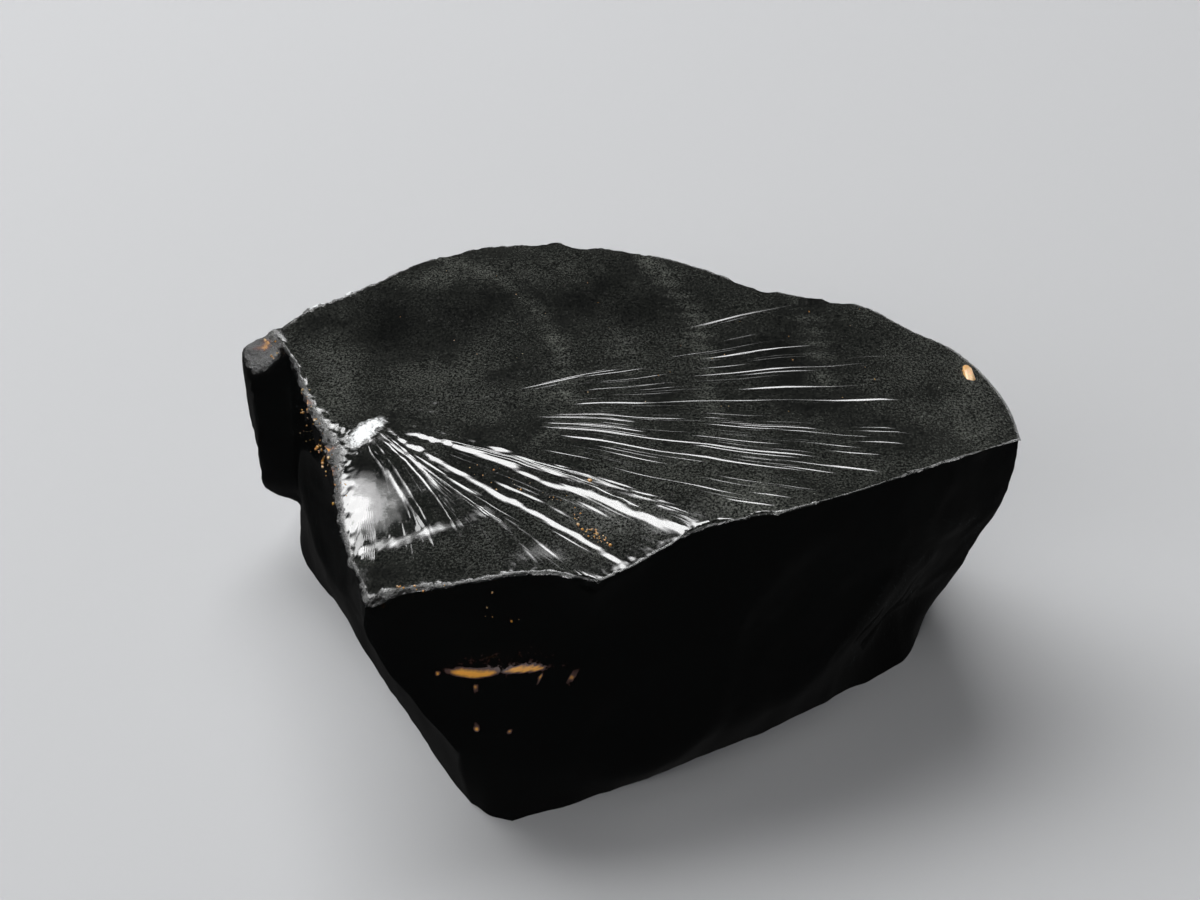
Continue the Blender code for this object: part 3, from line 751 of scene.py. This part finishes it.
def chips(seed, per_side, radii, depths):
    """Small bites along the rim, as place, facing, radius, depth, direction along the rim and how
    far they are drawn out that way."""
    draw = random.Random(seed)
    bites = []
    for number, (side, count) in enumerate(zip(SIDES, per_side)):
        growth = LEFT_CHIP_GROWTH if number == len(SIDES) - 1 else 1.0
        for _ in range(count):
            share = draw.uniform(*CHIP_SPAN)
            place = smooth_path(side["rim"], np.array([share]))[0]
            level = rim_facing(side, share)
            along = np.array((-level[1], level[0], 0.0))
            facing = level + (0.0, 0.0, draw.uniform(*CHIP_LIFT))
            radius = draw.uniform(*radii) * growth
            depth = draw.uniform(*depths) * growth
            bites.append((place, facing, radius, depth, along, draw.uniform(*CHIP_STRETCH)))
    return bites


def slab(points):
    """Raise the slab that stands proud of the left side, with steep edges."""
    away = (points - np.array(SLAB_MIDDLE)) / np.array(SLAB_REACH)
    inside = 1.0 - np.linalg.norm(away, axis=-1, keepdims=True)
    return points + unit(SLAB_FACING) * SLAB_PROUD * smoothstep(inside / SLAB_EDGE)


def crevice_reach(points, place, half_length, half_height):
    """How far along a crevice each point is, from 0 outside to 1 at its middle, and how high above
    its lip it is in half heights."""
    along = np.clip(1.0 - ((points[..., 0] - place[0]) / half_length) ** 2, 0.0, None)
    front = np.abs(points[..., 1] - place[1]) < CREVICE_THICKNESS
    return along * front, (points[..., 2] - place[2]) / half_height


def crevices(points):
    """Open the crevices across the front left face: each slopes in from above and ends on a lip
    that faces up."""
    for place, half_length, half_height, depth in CREVICES:
        along, up = crevice_reach(points, place, half_length, half_height)
        slope = smoothstep((CREVICE_ABOVE - up) / CREVICE_ABOVE)
        groove = slope * smoothstep((up + CREVICE_BELOW) / CREVICE_BELOW)
        points = points + np.array((0.0, 1.0, 0.0)) * (depth * along * groove)[..., None]
    return points


def outward(points):
    """Unit normals of the grid of rings and columns."""
    around = np.roll(points, -1, axis=1) - np.roll(points, 1, axis=1)
    down = np.gradient(points, axis=0)
    normal = np.cross(down, around)
    return normal / np.maximum(np.linalg.norm(normal, axis=-1, keepdims=True), 1e-9)


def swell(points, rings_on_top, top, side, octaves=SWELL_OCTAVES):
    """Uneven the broken surfaces with soft swells of a size and a height."""
    normal = outward(points)
    lift = np.zeros(points.shape[:2])
    for ring in range(points.shape[0]):
        size, height = top if ring < rings_on_top else side
        lift[ring] = [noise.fractal(Vector(point) / size, SWELL_WEAKENING, SWELL_SHRINKING, octaves)
                      * height for point in points[ring]]
    return points + normal * lift[..., None]


def crush_reach(points):
    """How deep each point lies in the crushed patch at the start of the break, from 0 to 1."""
    away = points[..., :2] - CRUSH_MIDDLE
    turn = np.array((math.cos(CRUSH_TURN), math.sin(CRUSH_TURN)))
    along = away @ turn / CRUSH_REACH[0]
    across = (away[..., 1] * turn[0] - away[..., 0] * turn[1]) / CRUSH_REACH[1]
    depth = smoothstep(CRUSH_CORE - CRUSH_LOSS * np.hypot(along, across))
    return depth * (points[..., 2] > TOP_LOWEST)


def crumble(points, place, rim_ring):
    """Roughen the stone close to its rim, most along the left side, and in the crushed patch."""
    reach = np.exp(-np.linalg.norm(points - points[rim_ring], axis=-1) / CRUMBLE_REACH)
    lift = reach * by_side(CRUMBLE, place)
    crush = crush_reach(points)
    normal = outward(points)
    amount = np.zeros_like(lift)
    for ring, column in np.argwhere((lift > LEAST_CRUMBLE) | (crush > LEAST_CRUSH)):
        where = Vector(points[ring, column])
        grain = sum(noise.noise(where / size) for size in CRUMBLE_GRAINS)
        bits = sum(noise.noise(where / size) * height for size, height in CRUSH_GRAINS)
        amount[ring, column] = lift[ring, column] * grain + crush[ring, column] * bits
    return points + normal * amount[..., None]


def stone_rings():
    """Every ring of the stone, top to base, as an array of rings, columns and coordinates, with
    the number of rings on top and each column's place around the rim in sides."""
    shares = [np.arange(side["columns"]) / side["columns"] for side in SIDES]
    place = np.concatenate([number + share for number, share in enumerate(shares)])
    rim, mid, knee, foot = (level_line(level, shares) for level in ("rim", "mid", "knee", "foot"))
    steps = np.linalg.norm(np.roll(rim, -1, axis=0) - rim, axis=1)
    rim_place = np.concatenate(([0.0], np.cumsum(steps)[:-1]))
    top = break_surface(rim, place, rim_place)
    rings = np.array(top + side_surface(top[-1], mid, knee, foot))
    for scar in SCARS:
        rings = scoop(rings, *scar)
    rings = crevices(slab(rings))
    rings = swell(rings, len(top), TOP_SWELL, SIDE_SWELL)
    for chip in chips(CHIP_SEED, CHIPS_PER_SIDE, CHIP_RADIUS, CHIP_DEPTH):
        rings = scoop(rings, *chip)
    small_depths = tuple(SMALL_CHIP_DEPTH * radius for radius in SMALL_CHIP_RADIUS)
    for chip in chips(SMALL_CHIP_SEED, SMALL_CHIPS_PER_SIDE, SMALL_CHIP_RADIUS, small_depths):
        rings = scoop(rings, *chip)
    rings = crumble(rings, place, len(top) - 1)
    for size, height in FINE_SWELLS:
        on_top = (size, height * FINE_SWELL_ON_TOP)
        rings = swell(rings, len(top), on_top, (size, height), FINE_SWELL_OCTAVES)
    rings[-1, :, 2] = 0.0
    rings[:-1, :, 2] = np.maximum(rings[:-1, :, 2], LEAST_HEIGHT)
    return rings, len(top), place


def dust_amount(points):
    """How much dust lies at each point of the break, from 0 to 1."""
    amount = np.full(points.shape[:-1], DUST_FILM)
    for middle, reach, change in DUST_PLACES:
        away = (points[..., :2] - middle) / reach
        amount += change * np.exp(-(away * away).sum(axis=-1))
    distance = np.linalg.norm(points[..., :2] - DUST_BAND_MIDDLE, axis=-1)
    behind = smoothstep((points[..., 1] - DUST_BANDS_FROM) / DUST_BANDS_RISE)
    for at, width, change in DUST_BANDS:
        amount += change * np.exp(-((distance - at) / width) ** 2) * behind
    return np.clip(amount, 0.0, 1.0)


def rust_amount(points):
    """How rusty each point is: the crusts on the lip, a stain around them, and small spots."""
    amount = np.zeros(points.shape[:-1])
    along, up = crevice_reach(points, *CREVICES[0][:3])
    amount += RUST_STAIN * along * fade(up, *RUST_STAIN_RISES)
    for place, half_length, half_height, hang in RUST_CRUSTS:
        along = (points[..., 0] - place[0]) / half_length
        up = (points[..., 2] - place[2] + hang * along**2) / half_height
        near = np.abs(points[..., 1] - place[1]) < RUST_CRUST_THICKNESS
        amount += smoothstep((RUST_CRUST_EDGE - np.hypot(along, up)) / RUST_CRUST_FADE) * near
    for place, reach in RUST_SPOTS:
        away = np.linalg.norm(points - place, axis=-1) / reach
        amount += np.exp(-away * away)
    return np.clip(amount, 0.0, 1.0)


def stone_marks(rings, rim_ring, place, wear_width):
    """The masks that the finish reads, each as one value for each point of the rings."""
    distance = np.linalg.norm(rings - rings[rim_ring], axis=-1)
    on_top = np.arange(len(rings))[:, None] <= rim_ring
    # A painted highlight: pale paint along the back left rim where it catches the light, carried in
    # the crushed mask.
    start, end, reach, amount = PAINTED_RIM_HIGHLIGHT
    share, behind, _ = along_and_behind(rings[..., 0], rings[..., 1], start, end, 0.0)
    pale = amount * fade(share, *PAINTED_RIM_HIGHLIGHT_SPAN) * np.exp(-(behind / reach) ** 2)
    pale = pale * (on_top | (distance < PAINTED_RIM_HIGHLIGHT_DEPTH)) * (rings[..., 2] > TOP_LOWEST)
    crushed_rim = by_side(RIM_CRUSH, place) * np.exp(-distance / wear_width)
    dull_rim = np.exp(-(distance / by_side(RIM_WEAR, place)) ** 2)
    spot, spot_reach = WORN_SPOT
    dull_spot = np.exp(-(np.linalg.norm(rings - spot, axis=-1) / spot_reach) ** 4)
    return {
        "worn": np.maximum(dull_rim, dull_spot),
        # The crushed mask holds the crushed glass at the start of the break, which is partly a painted
        # glare on the bulb there, the painted highlight along the back left rim, and the crushed rims.
        "crushed": np.clip(crush_reach(rings) + pale + crushed_rim, 0.0, 1.0),
        "dust": dust_amount(rings) * on_top,
        "rust": rust_amount(rings),
    }


def stone_faces(ring_count, columns, fine_rings):
    """Faces between the rings, with only some of the columns outside the fine rings."""
    faces = []
    for ring in range(ring_count - 1):
        above, below = (1 if at in fine_rings else THINNING for at in (ring, ring + 1))
        step = max(above, below)
        for column in range(0, columns, step):
            far = column + step
            upper = [ring * columns + at % columns for at in range(far, column - 1, -above)]
            lower = [(ring + 1) * columns + at % columns for at in range(column, far + 1, below)]
            faces.append(lower + upper)
    return faces


def stone_mesh(name, wear_width):
    """The closed mesh, with the masks as attributes. Its last point is the middle of the base."""
    rings, rings_on_top, place = stone_rings()
    columns = rings.shape[1]
    base_middle = np.array((*BASE_MIDDLE, 0.0))
    inner = [base_middle + (rings[-1] - base_middle) * share for share in BASE_RING_SHARES]
    rings = np.concatenate((rings, np.array(inner)))
    start = np.add(BREAK_START, (0.0, 0.0, BULB_HEIGHT))
    points = np.vstack((rings.reshape(-1, 3), [start], [base_middle]))
    fine_rings = range(FIRST_RING_COUNT, rings_on_top + RIM_RING_COUNT)
    faces = stone_faces(len(rings), columns, fine_rings)
    top_pole, base_pole = len(points) - 2, len(points) - 1
    last = (len(rings) - 1) * columns
    faces += [(top_pole, at, (at + THINNING) % columns) for at in range(0, columns, THINNING)]
    faces += [(last + at, base_pole, last + (at + THINNING) % columns)
              for at in range(0, columns, THINNING)]

    used = np.unique(np.concatenate([np.array(face) for face in faces]))
    number = np.zeros(len(points), dtype=int)
    number[used] = np.arange(len(used))
    faces = [number[list(face)].tolist() for face in faces]
    mesh = bpy.data.meshes.new(name)
    mesh.from_pydata((points[used] * MM).tolist(), [], faces)
    for mark, values in stone_marks(rings, rings_on_top - 1, place, wear_width).items():
        pole_values = (1.0 if mark == "crushed" else 0.0, 0.0)
        attribute = mesh.attributes.new(mark, "FLOAT", "POINT")
        attribute.data.foreach_set("value", np.concatenate((values.reshape(-1), pole_values))[used])
    mesh.shade_smooth()
    mesh.set_sharp_from_angle(angle=SHARP_ANGLE)
    return mesh


def centre_on_frame(mesh):
    """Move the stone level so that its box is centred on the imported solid's."""
    corners = np.array([vertex.co for vertex in mesh.vertices])
    low, high = corners.min(axis=0), corners.max(axis=0)
    middle = (CAD_BOX[0] + CAD_BOX[1]) / 2.0
    shift = Vector((middle.x - (low[0] + high[0]) / 2, middle.y - (low[1] + high[1]) / 2, 0.0))
    mesh.transform(Matrix.Translation(shift))


def grit_mesh(name, stone, count):
    """Small broken grains and two flakes in one mesh, bedded in the stone's surface, with a colour
    value for each. They are placed in the design, and then moved as far as the stone was, which its
    last point tells."""
    draw = random.Random(GRIT_SEED)
    shift = stone.vertices[-1].co - Vector((*BASE_MIDDLE, 0.0)) * MM
    surface = (np.array([vertex.co for vertex in stone.vertices]) - np.array(shift)) / MM
    surface = surface[surface[:, 2] > GRIT_LOWEST]

    def on_surface(plan):
        nearest = np.argmin(np.hypot(surface[:, 0] - plan[0], surface[:, 1] - plan[1]))
        return Vector((*plan, surface[nearest, 2]))

    total = sum(patch[-1] for patch in GRIT_PATCHES)
    bm = bmesh.new()
    tint = bm.verts.layers.float.new("tint")
    for start, end, spread, sizes, tints, share in GRIT_PATCHES:
        for _ in range(round(count * share / total)):
            at = draw.random()
            plan = [start[axis] + (end[axis] - start[axis]) * at + draw.gauss(0.0, spread)
                    for axis in (0, 1)]
            size = sizes[0] + (sizes[1] - sizes[0]) * draw.random() ** 2
            place = on_surface(plan) + Vector((0.0, 0.0, GRAIN_RISE * size))
            grain = bmesh.ops.create_icosphere(bm, subdivisions=1, radius=size)["verts"]
            turn = Euler([draw.uniform(0, math.tau) for _ in range(3)]).to_matrix()
            stretch = Vector([draw.uniform(*GRAIN_STRETCH) for _ in range(3)])
            value = draw.uniform(*tints)
            for vertex in grain:
                vertex.co = turn @ (vertex.co * stretch * draw.uniform(*GRAIN_JAG)) + place
                vertex[tint] = value
    for plan, reach, turn in FLAKES:
        place = on_surface(plan)
        flake = bmesh.ops.create_icosphere(bm, subdivisions=2, radius=1.0)["verts"]
        for vertex in flake:
            jag = 1.0 + FLAKE_JAG * noise.noise(vertex.co * FLAKE_FINENESS + Vector(plan).to_3d())
            vertex.co = Euler(turn).to_matrix() @ (vertex.co * jag * Vector(reach)) + place
            vertex[tint] = FLAKE_TINT
    bmesh.ops.scale(bm, vec=(MM, MM, MM), verts=bm.verts)
    mesh = bpy.data.meshes.new(name)
    bm.to_mesh(mesh)
    bm.free()
    mesh.transform(Matrix.Translation(shift))
    return mesh


def linear(hex_colour):
    """An sRGB hex colour as linear red, green and blue."""
    channels = [int(hex_colour[at:at + 2], 16) / 255 for at in (1, 3, 5)]
    return [c / 12.92 if c <= 0.04045 else ((c + 0.055) / 1.055) ** 2.4 for c in channels]


def add(tree, kind, settings=None, **links):
    """A node with its settings, its plain input values, and its links from other sockets."""
    node = tree.nodes.new(kind)
    for name, value in (settings or {}).items():
        setattr(node, name, value)
    for name, value in links.items():
        socket = node.inputs[int(name[1:]) if name[0] == "i" and name[1:].isdigit()
                             else name.replace("_", " ")]
        if isinstance(value, bpy.types.NodeSocket):
            tree.links.new(value, socket)
        else:
            socket.default_value = value
    return node


class ShungiteForm(bpy.types.PropertyGroup):
    wear_width: FloatProperty(name="Crushed rim", description="Width of the crushed edge",
                              default=0.06 * MM, unit="LENGTH", precision=5)
    grit_count: IntProperty(name="Grit", description="Grains of rusty grit on the break",
                            default=200, min=0)


class ShungiteFinish(bpy.types.PropertyGroup):
    stone: FloatVectorProperty(name="Stone", description="Freshly broken noble shungite",
                               default=linear("#050606"), size=3, subtype="COLOR")
    dust: FloatVectorProperty(name="Dust", description="Pale stone dust on the break",
                              default=linear("#868981"), size=3, subtype="COLOR")
    # This white also paints a highlight along the back left rim, and in part the glare on the bulb at
    # the start of the break.
    crushed: FloatVectorProperty(name="Crushed stone", description="Glass crushed to white powder",
                                 default=linear("#dfe2e3"), size=3, subtype="COLOR")
    rust: FloatVectorProperty(name="Rust", description="Thick iron rust in crevices",
                              default=linear("#eda325"), size=3, subtype="COLOR")
    rust_dark: FloatVectorProperty(name="Thin rust", description="Thin rust and its stain",
                                   default=linear("#40180a"), size=3, subtype="COLOR")
    quartz: FloatVectorProperty(name="Quartz grit", description="The palest grains of grit",
                                default=linear("#e0c9a0"), size=3, subtype="COLOR")


class ShungiteStage(bpy.types.PropertyGroup):
    floor: FloatVectorProperty(name="Floor", description="Plain pale floor",
                               default=linear("#bcbdbf"), size=3, subtype="COLOR")
    elevation: FloatProperty(name="Camera height", description="Angle above the horizon",
                             default=math.radians(38), subtype="ANGLE")
    distance: FloatProperty(name="Camera distance", description="From the point looked at",
                            default=126 * MM, unit="LENGTH")
    lens: FloatProperty(name="Lens", description="Focal length on a 36 mm sensor",
                        default=65.0, subtype="DISTANCE_CAMERA")


def new_material(name):
    """A material with nodes, and its node tree and shader."""
    material = bpy.data.materials.new(name)
    material.use_nodes = True
    return material, material.node_tree, material.node_tree.nodes["Principled BSDF"]


def broken_shungite(finish):
    """Noble shungite, freshly broken: natural carbon glass with a jet black, wet-looking gloss.
    Dust dulls it on top, crushed stone whitens the start of the break and the rims, and rust
    stains the crevices. The same white is a painted highlight along the back left rim, and in part a
    painted glare on the bulb at the start of the break."""
    material, tree, shader = new_material("noble_shungite_broken")
    place = add(tree, "ShaderNodeTexCoord").outputs["Object"]

    def noise_at(millimetres, detail=3.0, roughness=0.6):
        return add(tree, "ShaderNodeTexNoise", Vector=place, Scale=1.0 / (millimetres * MM),
                   Detail=detail, Roughness=roughness).outputs["Fac"]

    def mask(name):
        return add(tree, "ShaderNodeAttribute", {"attribute_name": name}).outputs["Fac"]

    def ramp(value, low, high, to_low=0.0, to_high=1.0):
        return add(tree, "ShaderNodeMapRange", i0=value, i1=low, i2=high, i3=to_low,
                   i4=to_high).outputs["Result"]

    def both(kind, one, other):
        return add(tree, "ShaderNodeMath", {"operation": kind}, i0=one, i1=other).outputs["Value"]

    def tinted(share, one, other):
        return add(tree, "ShaderNodeMix", {"data_type": "RGBA"}, i0=share, i6=one,
                   i7=other).outputs[2]

    # Dust: grains of about 0.1 mm in drifts of a few millimetres, with a few larger pale specks.
    drifts = ramp(noise_at(DUST_DRIFT, 4.0), *NOISE_SPAN, to_low=0.35, to_high=1.35)
    grains = ramp(noise_at(DUST_GRAIN, 3.0, 0.9), 0.42, 0.68, to_high=0.72)
    film = both("MULTIPLY", both("MULTIPLY", mask("dust"), drifts), grains)
    cells = add(tree, "ShaderNodeTexVoronoi", Vector=place, Scale=1.0 / (SPECK_SPACING * MM))
    spots = ramp(cells.outputs["Distance"], 0.05, 0.15, to_low=1.0, to_high=0.0)
    chosen = add(tree, "ShaderNodeSeparateColor", Color=cells.outputs["Color"]).outputs["Red"]
    specks = both("MULTIPLY", both("MULTIPLY", spots, ramp(chosen, 0.80, 0.90)),
                  ramp(mask("dust"), 0.1, 0.6, to_high=0.7))
    dust = both("MAXIMUM", film, specks)

    # Crushed glass: white in its middle, and single grains with black between them at its edge. The
    # same white is a painted highlight along the back left rim, and in part a painted glare on the
    # bulb at the start of the break.
    patchy = ramp(noise_at(CRUSHED_GRAIN, 4.0, 0.7), *NOISE_SPAN, to_low=-0.5, to_high=0.5)
    ragged = both("ADD", mask("crushed"), patchy)
    crushed = both("MULTIPLY", ramp(ragged, 0.35, 0.85), ramp(mask("crushed"), 0.04, 0.12))

    # Rust: a thin stain in patches, and a smooth crust, dark at its edge and golden where it is thick.
    patchy = ramp(noise_at(RUST_GRAIN, 4.0, 0.7), *NOISE_SPAN, to_low=-0.16, to_high=0.16)
    uneven = both("ADD", mask("rust"), patchy)
    crust = ramp(uneven, 0.14, 0.34)
    rusty = tinted(ramp(uneven, 0.40, 0.90), (*finish.rust_dark, 1.0), (*finish.rust, 1.0))

    colour = tinted(dust, (*finish.stone, 1.0), (*finish.dust, 1.0))
    colour = tinted(crushed, colour, (*finish.crushed, 1.0))
    colour = tinted(crust, colour, rusty)
    tree.links.new(colour, shader.inputs["Base Color"])

    # Gloss: what is dusty, crushed, worn or rusty is duller than the fresh glass.
    patchy = ramp(noise_at(POWDER_PATCH), *NOISE_SPAN, to_low=-0.25, to_high=0.10)
    powdery = ramp(both("ADD", mask("crushed"), patchy), 0.02, 0.30, to_high=0.75)
    worn = both("MULTIPLY", mask("worn"),
                ramp(noise_at(WORN_PATCH), 0.36, 0.46, to_low=0.10, to_high=0.45))
    dusty = both("MULTIPLY", film, 0.5)
    dull = both("MAXIMUM", both("MAXIMUM", dusty, powdery), both("MAXIMUM", worn, crust))
    roughness = ramp(dull, 0.0, 1.0, to_low=GLOSS_ROUGHNESS, to_high=DULL_ROUGHNESS)
    tree.links.new(roughness, shader.inputs["Roughness"])

    # Relief: a faint unevenness everywhere, and coarse grains where the rims and the slab are worn.
    bump = add(tree, "ShaderNodeBump", Height=noise_at(SKIN_GRAIN), Strength=0.10,
               Distance=SKIN_DEPTH * MM)
    bump = add(tree, "ShaderNodeBump", Height=noise_at(WORN_GRAIN, 4.0, 0.8), Strength=mask("worn"),
               Distance=WORN_DEPTH * MM, Normal=bump.outputs["Normal"])
    tree.links.new(bump.outputs["Normal"], shader.inputs["Normal"])
    shader.inputs["IOR"].default_value = SHUNGITE_IOR
    return material


def limonite_grit(finish):
    """Limonite and quartz grit, weathered loose: grains from rust brown to pale gold, each with a
    slight glint."""
    material, tree, shader = new_material("limonite_grit_weathered")
    tint = add(tree, "ShaderNodeAttribute", {"attribute_name": "tint"}).outputs["Fac"]
    ramp = add(tree, "ShaderNodeValToRGB", Fac=tint)
    stops = ramp.color_ramp.elements
    stops[0].color = (*finish.rust_dark, 1.0)
    stops[1].color = (*finish.quartz, 1.0)
    stops.new(0.55).color = (*finish.rust, 1.0)
    mottle = add(tree, "ShaderNodeTexNoise", Scale=1.0 / (GRIT_MOTTLE * MM), Detail=3.0,
                 Vector=add(tree, "ShaderNodeTexCoord").outputs["Object"])
    shade = add(tree, "ShaderNodeMix", {"data_type": "RGBA", "blend_type": "MULTIPLY"}, i0=0.6,
                i6=ramp.outputs["Color"], i7=mottle.outputs["Color"])
    tree.links.new(shade.outputs[2], shader.inputs["Base Color"])
    shader.inputs["Roughness"].default_value = 0.4
    return material


def plain_floor(colour):
    """Matt painted board: pale, even and without gloss, so only the stone shines."""
    material, _, shader = new_material("matt_board_floor")
    shader.inputs["Base Color"].default_value = (*colour, 1.0)
    shader.inputs["Roughness"].default_value = 0.9
    shader.inputs["Specular IOR Level"].default_value = 0.1
    return material


def lay_floor(scene, colour):
    """A level floor under the stone, which its gloss doesn't mirror."""
    corners = [(x * FLOOR_HALF, y * FLOOR_HALF, 0) for x, y in ((-1, -1), (1, -1), (1, 1), (-1, 1))]
    mesh = bpy.data.meshes.new("floor")
    mesh.from_pydata(corners, [], [(0, 1, 2, 3)])
    mesh.materials.append(plain_floor(colour))
    floor = bpy.data.objects.new("floor", mesh)
    scene.collection.objects.link(floor)
    floor.visible_glossy = False


def set_camera(scene, settings):
    """The camera in front of the stone, looking down at it."""
    back = Vector((0, -math.cos(settings.elevation), math.sin(settings.elevation)))
    camera = bpy.data.objects.new("camera", bpy.data.cameras.new("camera"))
    scene.collection.objects.link(camera)
    camera.data.lens = settings.lens
    camera.data.sensor_width = SENSOR_WIDTH
    camera.data.clip_start = NEAREST_SEEN
    camera.location = Vector(CAMERA_TARGET) * MM + back * settings.distance
    camera.rotation_euler = (-back).to_track_quat("-Z", "Y").to_euler()
    scene.camera = camera


def set_world(scene):
    """A nearly dark room around the lights."""
    world = bpy.data.worlds.new("studio")
    scene.world = world
    world.use_nodes = True
    background = world.node_tree.nodes["Background"]
    background.inputs["Color"].default_value = (1, 1, 1, 1)
    background.inputs["Strength"].default_value = WORLD_STRENGTH


def hang_softbox(scene, name, across, elevations, distance, radiance, seen_as):
    """A soft light over the stone, between two angles across and two elevations behind it. It is
    seen as gloss alone or as even light alone."""
    light = bpy.data.lights.new(name, "AREA")
    light.shape = "RECTANGLE"
    span = [math.radians(high - low) for low, high in (across, elevations)]
    light.size, light.size_y = (2.0 * distance * math.tan(angle / 2.0) for angle in span)
    light.energy = radiance * math.pi * light.size * light.size_y
    lamp = bpy.data.objects.new(name, light)
    scene.collection.objects.link(lamp)
    lamp.visible_diffuse = seen_as == "light"
    lamp.visible_glossy = seen_as == "gloss"
    turn = math.radians(sum(across) / 2.0)
    rise = math.radians(sum(elevations) / 2.0)
    side = Vector((math.cos(turn), -math.sin(turn) * math.cos(rise),
                   -math.sin(turn) * math.sin(rise)))
    way = Vector((math.sin(turn), math.cos(turn) * math.cos(rise),
                  math.cos(turn) * math.sin(rise)))
    turned = Matrix((side, way.cross(side), way)).transposed().to_4x4()
    lamp.matrix_world = Matrix.Translation(way * distance) @ turned


class SHUNGITE_OT_chunk(bpy.types.Operator):
    """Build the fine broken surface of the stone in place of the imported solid"""
    bl_idname = "shungite.chunk"
    bl_label = "Broken stone"

    def execute(self, context):
        mesh = stone_mesh(STONE, context.scene.shungite_form.wear_width / MM)
        centre_on_frame(mesh)
        mesh.materials.append(broken_shungite(context.scene.shungite_finish))
        chunk = bpy.data.objects.new(STONE, mesh)
        context.scene.collection.objects.link(chunk)
        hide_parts(NODE)
        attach(chunk, "root")
        return {"FINISHED"}


class SHUNGITE_OT_grit(bpy.types.Operator):
    """Strew rusty grit and two flakes over the stone"""
    bl_idname = "shungite.grit"
    bl_label = "Rusty grit"

    def execute(self, context):
        stone = bpy.data.objects[STONE].data
        mesh = grit_mesh("rusty_grit", stone, context.scene.shungite_form.grit_count)
        mesh.materials.append(limonite_grit(context.scene.shungite_finish))
        grit = bpy.data.objects.new("rusty_grit", mesh)
        context.scene.collection.objects.link(grit)
        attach(grit, "root")
        return {"FINISHED"}


class SHUNGITE_OT_stage(bpy.types.Operator):
    """Set out the floor, the soft studio lights and the camera"""
    bl_idname = "shungite.stage"
    bl_label = "Floor, lights and camera"

    def execute(self, context):
        lay_floor(context.scene, context.scene.shungite_stage.floor)
        set_camera(context.scene, context.scene.shungite_stage)
        set_world(context.scene)
        for softbox in SOFTBOXES:
            hang_softbox(context.scene, *softbox)
        context.scene.view_settings.view_transform = "Standard"
        return {"FINISHED"}


class SHUNGITE_PT_panel(bpy.types.Panel):
    """Buttons that build the stone, its grit and the stage, and their settings"""
    bl_idname = "SHUNGITE_PT_panel"
    bl_label = "Shungite"
    bl_space_type = "VIEW_3D"
    bl_region_type = "UI"
    bl_category = "Shungite"

    def draw(self, context):
        for operator in OPERATORS:
            self.layout.operator(operator.bl_idname)
        for group in GROUPS:
            settings = getattr(context.scene, group)
            for name in settings.__annotations__:
                self.layout.prop(settings, name)


OPERATORS = (SHUNGITE_OT_chunk, SHUNGITE_OT_grit, SHUNGITE_OT_stage)
GROUPS = {"shungite_form": ShungiteForm, "shungite_finish": ShungiteFinish,
          "shungite_stage": ShungiteStage}


def register():
    for group, properties in GROUPS.items():
        bpy.utils.register_class(properties)
        setattr(bpy.types.Scene, group, PointerProperty(type=properties))
    for kind in (*OPERATORS, SHUNGITE_PT_panel):
        bpy.utils.register_class(kind)


def unregister():
    for kind in (SHUNGITE_PT_panel, *OPERATORS):
        bpy.utils.unregister_class(kind)
    for group, properties in GROUPS.items():
        delattr(bpy.types.Scene, group)
        bpy.utils.unregister_class(properties)


def main():
    register()
    bpy.ops.shungite.chunk()
    bpy.ops.shungite.grit()
    bpy.ops.shungite.stage()


if __name__ == "__main__":
    main()
